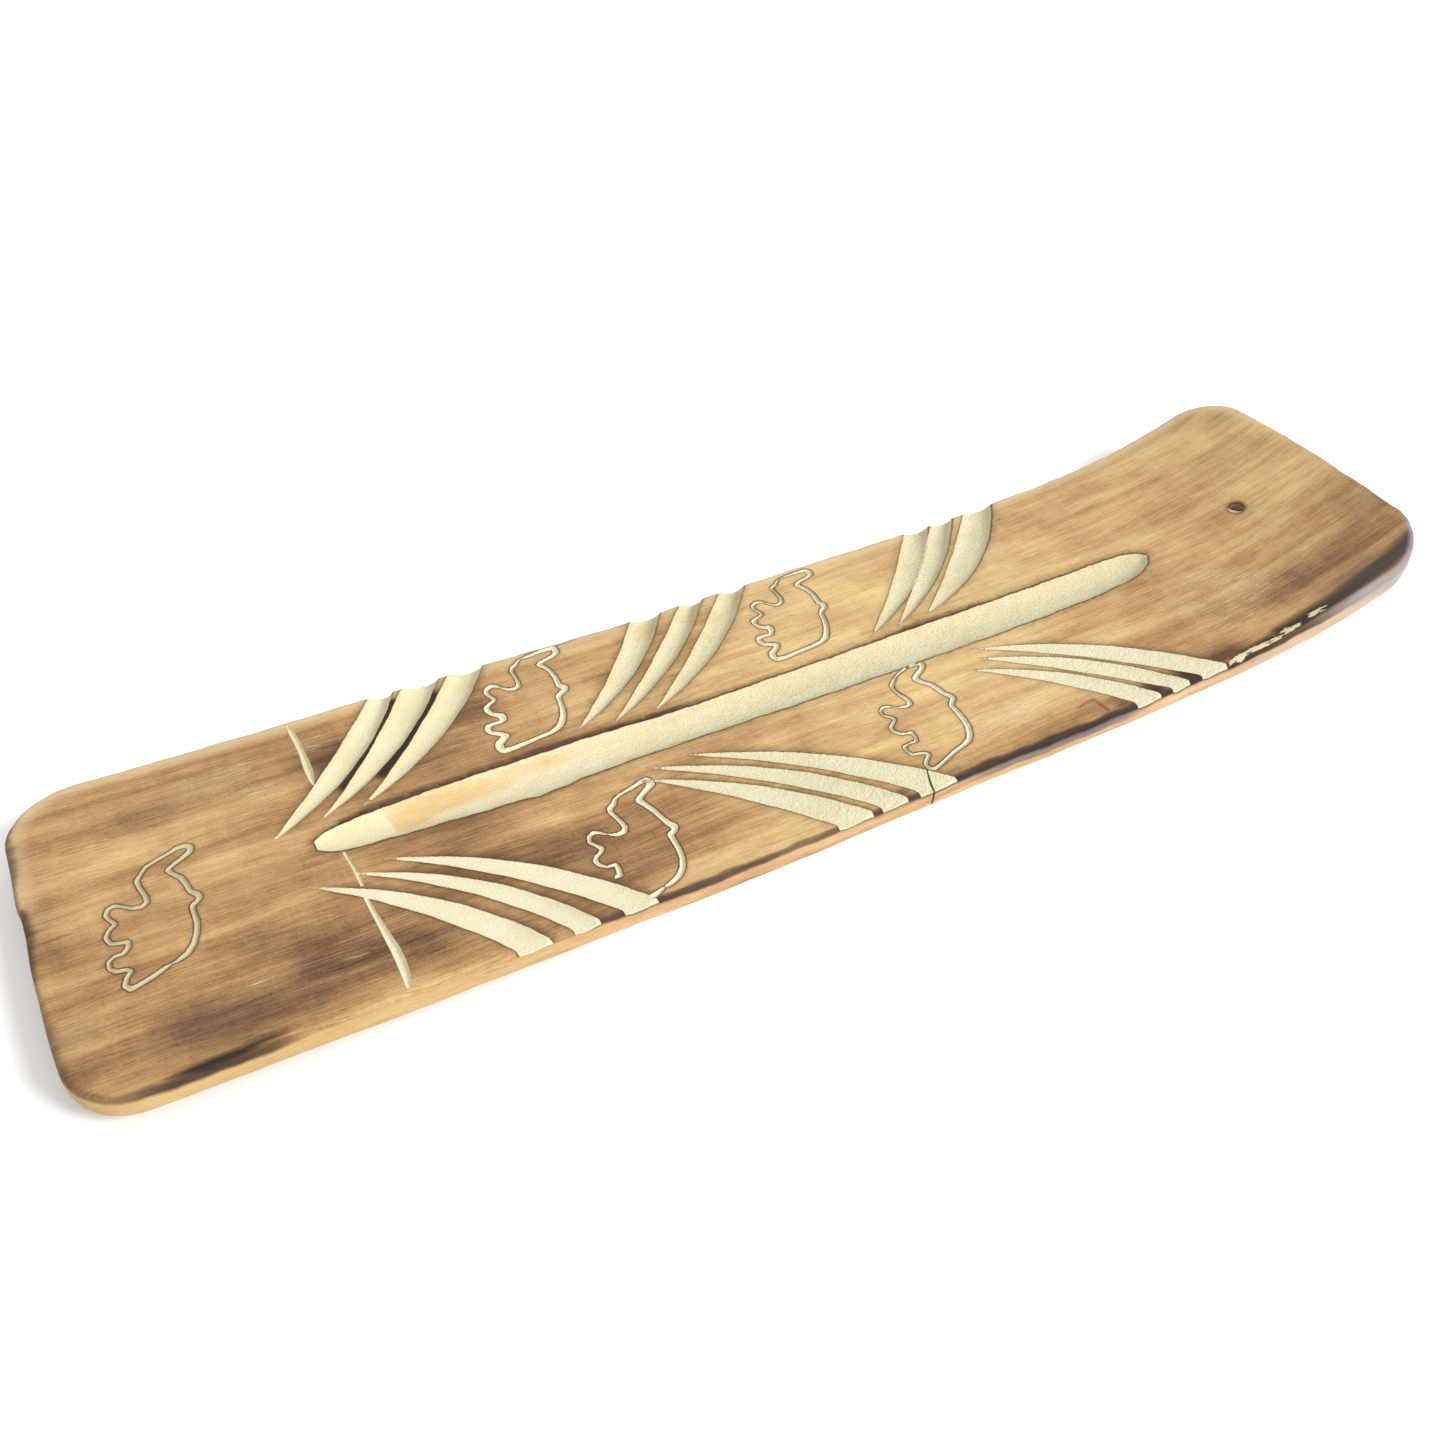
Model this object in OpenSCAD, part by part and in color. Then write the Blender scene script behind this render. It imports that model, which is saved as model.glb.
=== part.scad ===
// Incense burner of the long "ski" kind: one carved board of thin wood.
// A stick stands in the hole of the upturned toe and leans over the board,
// and its ash falls on the carved face.
// Origin: middle of the footprint, on the surface that the board stands on.
// +X points to the upturned toe, +Z up.

/* [Board] */
// Length of the board over its two ends
length = 254; // [230:1:300]
// Width of the board
width = 63.5; // [60:0.5:80]
// Thickness of the board
thickness = 4.5; // [4:0.1:8]
// Radius of the corners at the heel, seen from above
heel_corner = 12; // [8:0.5:16]
// Radius of the corners at the toe, seen from above
toe_corner = 10; // [8:0.5:16]
// Radius that each end is rounded to, seen from above
end_radius = 400; // [250:10:800]
// Height of the worn bevel round the top face
bevel_height = 0.9; // [0.4:0.1:1.2]
// Width of that bevel
bevel_width = 0.5; // [0.2:0.1:1]
// Chamfer along the lower edges
lower_chamfer = 0.5; // [0.2:0.1:1]

/* [Bends] */
// Length of the straight, slightly raised heel, seen from above
heel_run = 75.9; // [60:0.1:85]
// Length of the bend in front of it, seen from above
heel_bend_run = 31.9; // [15:0.1:40]
// Radius of that bend
heel_radius = 730; // [500:10:900]
// Length of the bend where the toe starts to rise, seen from above
toe_bend_run = 26.6; // [20:0.1:30]
// Radius of that bend
toe_radius = 380; // [350:10:450]
// Length of the tighter bend at the tip, seen from above
tip_run = 47; // [40:0.5:50]
// Radius of that bend
tip_radius = 155; // [150:5:180]

/* [Stick hole] */
// Diameter of the hole that the incense stick stands in
hole_diameter = 3.2; // [2:0.1:4]
// Distance from the tip of the toe to the hole
hole_inset = 20.7; // [16:0.1:30]
// Distance of the hole from the centre line
hole_offset = 1; // [0:0.1:3]

/* [Ash groove] */
// Width of the long groove
groove_width = 8.3; // [6:0.1:9]
// Depth of the groove at its middle
groove_depth = 1.6; // [1:0.1:2]
// Place of the groove's blunt end
groove_start = -85; // [-90:1:-80]
// Place of the groove's other end
groove_end = 83; // [70:1:90]
// Angle that the groove is skewed by on the board
groove_skew = -0.5; // [-1:0.1:1]

/* [Gouge strokes] */
// Depth of a stroke where it runs out through the edge
stroke_depth = 1.5; // [0.8:0.1:2]
// Depth of a stroke near its point
stroke_point_depth = 0.3; // [0.2:0.1:0.8]
// Bow of the heel side of a far stroke
far_heel_bow = 0.7; // [0.4:0.1:1]
// Bow of the heel side of a near stroke
near_heel_bow = 1.4; // [0.8:0.1:1.6]

/* [Elephants] */
// Width of the line that draws an elephant
line_width = 0.9; // [0.6:0.1:1.2]
// Depth of that line
line_depth = 0.7; // [0.4:0.1:1]

/* [Hidden] */
$fn = 96;
cut = 2;                    // how far a cutting shape runs past what it cuts
arc_steps = 10;             // straight pieces in each side of a stroke

// where the stretches of the board join, with the slope at each join
heel_angle = asin(heel_bend_run / heel_radius);
toe_angle = asin(toe_bend_run / toe_radius);
heel_bend_start = heel_run - length / 2;
flat_start = heel_bend_start + heel_bend_run;
tip_start = length / 2 - tip_run;
flat_end = tip_start - toe_bend_run;
heel_rise = heel_radius * (1 - cos(heel_angle));
toe_rise = toe_radius * (1 - cos(toe_angle));
tip_centre_x = tip_start - tip_radius * toe_bend_run / toe_radius;
tip_centre_z = thickness + toe_rise + tip_radius * cos(toe_angle);

// the hole stands square to the toe
hole_x = length / 2 - hole_inset;
hole_angle = asin((hole_x - tip_centre_x) / tip_radius);

// the slopes and the long bend that the cuts follow where the board bends
toe_strokes_tilt = 0.4;
bend_lines_tilt = 1.2;
groove_low_x = 17;
groove_bend_radius = 2400;

// Each stroke: x and y of its point, the x of its heel side and of its toe
// side where they reach the edge, and the bow of its toe side.
far_strokes = [
    [-90.6, 4.7, -66.4, -62.0, 3.3], [-82.2, 6.3, -60.6, -53.7, 2.9], [-75.3, 6.6, -52.1, -45.4, 3.1],
    [-38.1, 8.0, -16.3, -10.0, 2.7], [-31.9, 6.6, -5.6, -0.6, 2.6], [-23.9, 6.6, 1.8, 8.6, 2.7],
    [21.2, 6.2, 45.9, 52.2, 2.7], [27.2, 6.2, 53.2, 57.7, 2.8], [34.3, 6.6, 60.6, 68.0, 3.6]];
near_strokes = [
    [-87.5, 6.8, -65.3, -60.0, 3.4], [-81.5, 6.9, -56.4, -52.0, 2.7], [-75.8, 5.8, -48.1, -42.5, 2.9],
    [-33.0, 8.0, -10.3, -4.0, 1.8], [-31.0, 5.8, -1.5, 3.2, 2.1], [-24.8, 5.7, 6.0, 13.1, 2.7],
    [31.7, 10.5, 51.5, 57.8, 2.4], [36.0, 8.7, 60.0, 64.8, 2.4], [36.6, 6.0, 67.1, 74.0, 3.0]];

// Each elephant: x, y and turn.
elephants = [[-111.5, -2, 6], [-44.2, 20.2, -6], [9.4, 19.5, -8], [-41.9, -19.7, 2], [15.9, -16.2, 5]];
// One elephant, feet towards the heel and raised trunk towards +Y.
elephant_outline = [
    [6.6, 7.6], [7.6, 4.4], [8, 1.4], [9.2, -0.1], [7.9, -1.4], [7, -2.2],            // brow, ear
    [6.9, -5.4], [5.8, -8.2], [3.6, -10.2], [0.6, -10.9], [-5.8, -12.3],               // back, rump
    [-6.1, -11.2], [-5.4, -9.9], [-4, -8.9], [-5.5, -8.1], [-6.6, -7],                 // hind leg
    [-6.5, -5.5], [-5.6, -4.8], [-3.8, -5.1], [-3.1, -3.2], [-4.7, -2.8],              // belly
    [-5.4, -1.3], [-4.8, 0], [-3.3, 1], [-4.1, 2.9], [-3.8, 4.4], [-2.7, 4.8],         // front legs
    [-0.6, 3.2], [0.8, 2.5], [1.9, 3], [2, 4.7], [1.7, 7.6], [2.7, 8.5], [3.9, 9.9],   // chest, chin
    [9.8, 11.1], [10.9, 10.8], [10.7, 9.6]];                                          // trunk

// ---- the board's bends -------------------------------------------------
// A section is drawn with x across the board and y up from its top face. Only
// the board's own body is put together from stretches; each cut is one shape.

// the section along a straight run
module straight(run)
    rotate([90, 0, 90]) linear_extrude(run) children();

// places its children on the heel's straight top face
module on_heel()
    translate([heel_bend_start, 0, thickness + heel_rise]) rotate([0, heel_angle, 0]) children();

// the section along an upward bend, from its lowest point
module bend(radius, angle)
    translate([0, 0, radius]) rotate([90, 90, 0])
        rotate_extrude(angle = angle, $fn = 2880)
            translate([radius, 0]) mirror([1, 0]) rotate(-90) children();

// the part of its children that lies towards the toe (way 1) or the heel (way -1) of x
module beyond(x, way)
    intersection() {
        translate([way > 0 ? x : x - length, -width, -length]) cube([length, 2 * width, 2 * length]);
        children();
    }

// the section along the whole board, running a little past both ends
module sweep() {
    beyond(heel_bend_start, -1)
        on_heel() translate([-heel_run - 2 * cut, 0, 0]) straight(heel_run + 3 * cut) children();
    beyond(heel_bend_start, 1)
        translate([flat_start, 0, thickness]) mirror([1, 0, 0])
            bend(heel_radius, heel_angle + 1) children();
    translate([flat_start, 0, thickness]) straight(flat_end - flat_start) children();
    beyond(tip_start, -1)
        translate([flat_end, 0, thickness]) bend(toe_radius, toe_angle + 1) children();
    beyond(tip_start, 1)
        translate([tip_centre_x, 0, tip_centre_z - tip_radius]) bend(tip_radius, 25) children();
}

// ---- flat shapes -------------------------------------------------------

// the board's own section, with its bevels
module board_section()
    polygon([
        [-width / 2 + bevel_width, 0], [-width / 2, -bevel_height],
        [-width / 2, lower_chamfer - thickness], [-width / 2 + lower_chamfer, -thickness],
        [width / 2 - lower_chamfer, -thickness], [width / 2, lower_chamfer - thickness],
        [width / 2, -bevel_height], [width / 2 - bevel_width, 0]]);

// the board seen from above
module board_outline()
    intersection() {
        union() {
            for (y = [-1, 1]) {
                translate([heel_corner - length / 2, y * (width / 2 - heel_corner)]) circle(heel_corner);
                translate([length / 2 - toe_corner, y * (width / 2 - toe_corner)]) circle(toe_corner);
            }
            translate([heel_corner - length / 2, -width / 2])
                square([length - heel_corner - toe_corner, width]);
            translate([-length / 2, heel_corner - width / 2])
                square([length / 2, width - 2 * heel_corner]);
            translate([0, toe_corner - width / 2]) square([length / 2, width - 2 * toe_corner]);
        }
        for_ends() circle(end_radius, $fn = 720);
    }

// the common part of its child placed to touch each end
module for_ends()
    intersection() {
        translate([end_radius - length / 2, 0]) children();
        translate([length / 2 - end_radius, 0]) children();
    }

// points on a side that bows towards the toe between p and q
function side(p, q, bow) = [
    for (i = [0:arc_steps])
        let (t = i / arc_steps, d = (q - p) / norm(q - p))
            p + t * (q - p) + 4 * bow * t * (1 - t) * [d.y, -d.x]];

// one stroke, from its point out past the edge
module stroke(s, heel_bow) {
    tip = [s[0], s[1]];
    heel_side = side(tip, [s[2], width / 2], heel_bow);
    toe_side = side(tip, [s[3], width / 2], s[4]);
    past = [[s[2], width / 2 + cut], [s[3], width / 2 + cut]];
    polygon([for (p = heel_side) p, each past, for (i = [arc_steps:-1:1]) toe_side[i]]);
}

// an outline moved outwards by d, with mitred corners
function unit(v) = v / norm(v);
function grown(pts, d) = [
    for (i = [0:len(pts) - 1])
        let (
            n = len(pts),
            a = unit(pts[i] - pts[(i + n - 1) % n]),
            b = unit(pts[(i + 1) % n] - pts[i]),
            m = [a.y + b.y, -a.x - b.x] / -2)
            pts[i] + d * m / max(m * m, 0.35)];

// the line that draws one elephant, e = [x, y, turn]
module elephant(e)
    translate([e[0], e[1]]) rotate(e[2]) difference() {
        polygon(grown(elephant_outline, line_width / 2));
        polygon(grown(elephant_outline, -line_width / 2));
    }

// the groove seen from above, with its drawn-out ends
module groove_outline() {
    w = groove_width / 2;
    blunt = 24;
    sharp = 14;
    ends = 8;
    long_side = [
        for (i = [0:ends]) let (t = i / ends)
            [groove_start + blunt * t, w * (0.25 + 0.75 * pow(sin(90 * t), 0.7))],
        for (i = [ends:-1:0]) let (t = i / ends)
            [groove_end - sharp * t, w * (0.05 + 0.95 * sqrt(t * (2 - t)))]];
    rotate(groove_skew) translate([0, 0.5])
        polygon([each long_side, for (i = [len(long_side) - 1:-1:0]) [long_side[i].x, -long_side[i].y]]);
}

// the line scored across the board near its heel
module scored_line()
    for (ends = [[14.6, 30.2, 0.6], [-30.8, -1.8, 0.6]])
        polygon([
            [-81.5, ends[0]], [-81.2 + ends[2], ends[0] + (ends[1] - ends[0]) * 0.35],
            [-81.2, ends[1]], [-81.2 - ends[2], ends[0] + (ends[1] - ends[0]) * 0.35]]);

// ---- carving -----------------------------------------------------------
// Each cut has one floor from end to end, close to the bend of the board.

// the layer that strokes reach into, deeper towards the edges
module stroke_layer()
    translate([-length / 2, 0, 0]) straight(length)
        polygon([
            [-width, cut], [-width, -stroke_depth], [-width / 2, -stroke_depth],
            [-5, -stroke_point_depth], [5, -stroke_point_depth],
            [width / 2, -stroke_depth], [width, -stroke_depth], [width, cut]]);

// the strokes from one place in the lists to another
module stroke_group(first, last)
    linear_extrude(length / 4) {
        for (i = [first:last]) stroke(far_strokes[i], far_heel_bow);
        mirror([0, 1]) for (i = [first:last]) stroke(near_strokes[i], near_heel_bow);
    }

module strokes() {
    intersection() {
        on_heel() stroke_layer();
        stroke_group(0, 2);
    }
    intersection() {
        translate([0, 0, thickness]) stroke_layer();
        stroke_group(3, 5);
    }
    intersection() {
        translate([far_strokes[6].x, 0, thickness]) rotate([0, -toe_strokes_tilt, 0]) stroke_layer();
        stroke_group(6, 8);
    }
}

// the layer that fine lines reach into
module line_layer()
    translate([-length / 2, -width / 2, -line_depth]) cube([length, width, line_depth + cut]);

module fine_lines() {
    intersection() {
        on_heel() line_layer();
        linear_extrude(length / 4) {
            elephant(elephants[0]);
            scored_line();
        }
    }
    intersection() {
        translate([flat_start, 0, thickness]) rotate([0, bend_lines_tilt, 0]) line_layer();
        linear_extrude(length / 4) for (i = [1, 3]) elephant(elephants[i]);
    }
    intersection() {
        translate([0, 0, thickness]) line_layer();
        linear_extrude(length / 4) for (i = [2, 4]) elephant(elephants[i]);
    }
}

// the hollow of the groove, in short straight facets
module groove_section() {
    radius = (pow(groove_width / 2, 2) + pow(groove_depth, 2)) / (2 * groove_depth);
    reach = 1.6 * asin(groove_width / 2 / radius);
    polygon([
        for (i = [-5:5])
            [radius * sin(reach * i / 5), radius * (1 - cos(reach * i / 5)) - groove_depth]]);
}

module groove()
    intersection() {
        translate([groove_low_x, 0, thickness]) {
            bend(groove_bend_radius, 5) groove_section();
            mirror([1, 0, 0]) bend(groove_bend_radius, 5) groove_section();
        }
        linear_extrude(length / 4) groove_outline();
    }

module stick_hole()
    translate([
        tip_centre_x + (tip_radius + thickness / 2) * sin(hole_angle), hole_offset,
        tip_centre_z - (tip_radius + thickness / 2) * cos(hole_angle)])
        rotate([0, -hole_angle, 0]) cylinder(d = hole_diameter, h = thickness + 2 * cut, center = true);

module board()
    color("burlywood") difference() {
        intersection() {
            sweep() board_section();
            linear_extrude(length / 4) board_outline();
        }
        groove();
        strokes();
        fine_lines();
        stick_hole();
    }

board();
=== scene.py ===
"""A carved and flamed wooden incense burner: one long board, raised at both ends.

The board is drawn flat, as seen from above, in millimetres: x runs along it to
the toe, y across it. Cuts have a depth below the top face. The flat drawing is
then laid on the board's bends.
"""

import math

import bpy
import numpy as np
from mathutils import Matrix, Vector, geometry


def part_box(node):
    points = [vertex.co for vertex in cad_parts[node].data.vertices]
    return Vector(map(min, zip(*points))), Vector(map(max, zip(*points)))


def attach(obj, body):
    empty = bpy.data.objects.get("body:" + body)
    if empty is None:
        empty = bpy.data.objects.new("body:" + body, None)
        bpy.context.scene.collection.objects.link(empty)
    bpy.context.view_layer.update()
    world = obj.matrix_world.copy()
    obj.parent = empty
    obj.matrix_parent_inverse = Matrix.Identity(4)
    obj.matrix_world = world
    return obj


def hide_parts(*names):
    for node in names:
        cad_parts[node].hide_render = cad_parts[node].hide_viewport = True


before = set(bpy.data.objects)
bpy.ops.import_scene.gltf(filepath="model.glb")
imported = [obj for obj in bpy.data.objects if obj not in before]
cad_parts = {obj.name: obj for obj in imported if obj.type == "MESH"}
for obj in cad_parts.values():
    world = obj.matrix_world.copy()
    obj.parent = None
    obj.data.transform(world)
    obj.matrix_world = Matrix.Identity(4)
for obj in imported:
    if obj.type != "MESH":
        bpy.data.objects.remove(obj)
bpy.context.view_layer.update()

MM = 0.001
rng = np.random.default_rng(32)

# ---- sizes, in millimetres -------------------------------------------------
low, high = (np.array(corner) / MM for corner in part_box("board"))
LENGTH = round(high[0] - low[0], 1)
WIDTH = round(high[1] - low[1], 1)
THICKNESS = 4.5

# the bends, from heel to toe: lengths seen from above, and radii
HEEL_RUN, HEEL_BEND_RUN, HEEL_RADIUS = 75.9, 31.9, 730
TOE_BEND_RUN, TOE_RADIUS = 26.6, 380
TIP_RUN, TIP_RADIUS = 47, 155

HOLE, HOLE_RADIUS = np.array((LENGTH / 2 - 20.7, 1)), 1.6

EDGE_ROUND, LOWER_ROUND = 0.9, 0.5  # radii of the edge above and below
HOLE_BEVEL = 0.14  # depth of the worn mouth of the hole

# depths; a near stroke has only a share of a far stroke's depth at the edge
STROKE_DEPTH, POINT_DEPTH, NEAR_SHARE = 1.5, 0.35, 0.75
GROOVE_DEPTH, LINE_DEPTH = 1.6, 0.38

FAR_OFF = 9.0  # stands for any distance too long to matter

# ---- the cuts, seen from above ---------------------------------------------
# Each stroke: x and y of its point, the x of its heel side and of its toe side
# where they reach the edge, and the bow of each side.
FAR_STROKES = [
    (-91.2, 4.4, -66.4, -62.0, 0.75, 3.4), (-82.8, 5.9, -60.6, -53.7, 1.0, 2.9),
    (-76.1, 6.1, -52.1, -45.4, 1.0, 3.1), (-38.3, 7.7, -16.0, -9.6, 1.0, 3.0),
    (-32.0, 6.5, -5.4, -0.4, 0.7, 2.8), (-24.3, 6.2, 3.2, 8.7, 0.9, 3.4),
    (20.9, 5.9, 46.2, 52.2, 0.8, 3.2), (26.8, 5.9, 53.0, 58.4, 0.5, 2.8),
    (33.7, 6.4, 61.2, 68.4, 0.8, 4.2),
]  # fmt: skip
NEAR_STROKES = [
    (-88.3, 6.7, -65.3, -60.0, 1.45, 2.9), (-82.4, 6.4, -56.4, -52.0, 2.0, 3.3),
    (-76.8, 5.7, -48.1, -42.5, 1.6, 3.2), (-33.4, 7.7, -10.2, -3.4, 1.1, 2.4),
    (-32.2, 5.2, -1.5, 3.5, 1.7, 3.4), (-25.4, 5.1, 5.9, 13.3, 1.8, 2.9),
    (30.8, 10.0, 52.6, 58.2, 1.3, 2.6), (34.6, 8.2, 60.9, 65.2, 0.7, 3.0),
    (35.2, 5.5, 68.0, 74.2, 1.6, 3.6),
]  # fmt: skip

# The groove's two sides: x, y of the near side, y of the far side.
GROOVE = [
    (-85.0, 0.1, 2.1), (-83.5, -0.9, 3.0), (-80.0, -1.8, 3.9), (-74.0, -2.2, 4.5), (-60.0, -3.0, 5.2),
    (-50.0, -3.3, 5.4), (-40.0, -2.8, 5.6), (-20.0, -2.9, 4.7), (0.0, -3.7, 4.4), (30.0, -4.2, 4.3),
    (60.0, -4.2, 4.1), (70.0, -4.0, 3.9), (76.0, -3.5, 3.6), (80.0, -2.4, 2.8), (82.2, -0.9, 1.6),
    (83.0, 0.2, 0.6),
]  # fmt: skip

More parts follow.
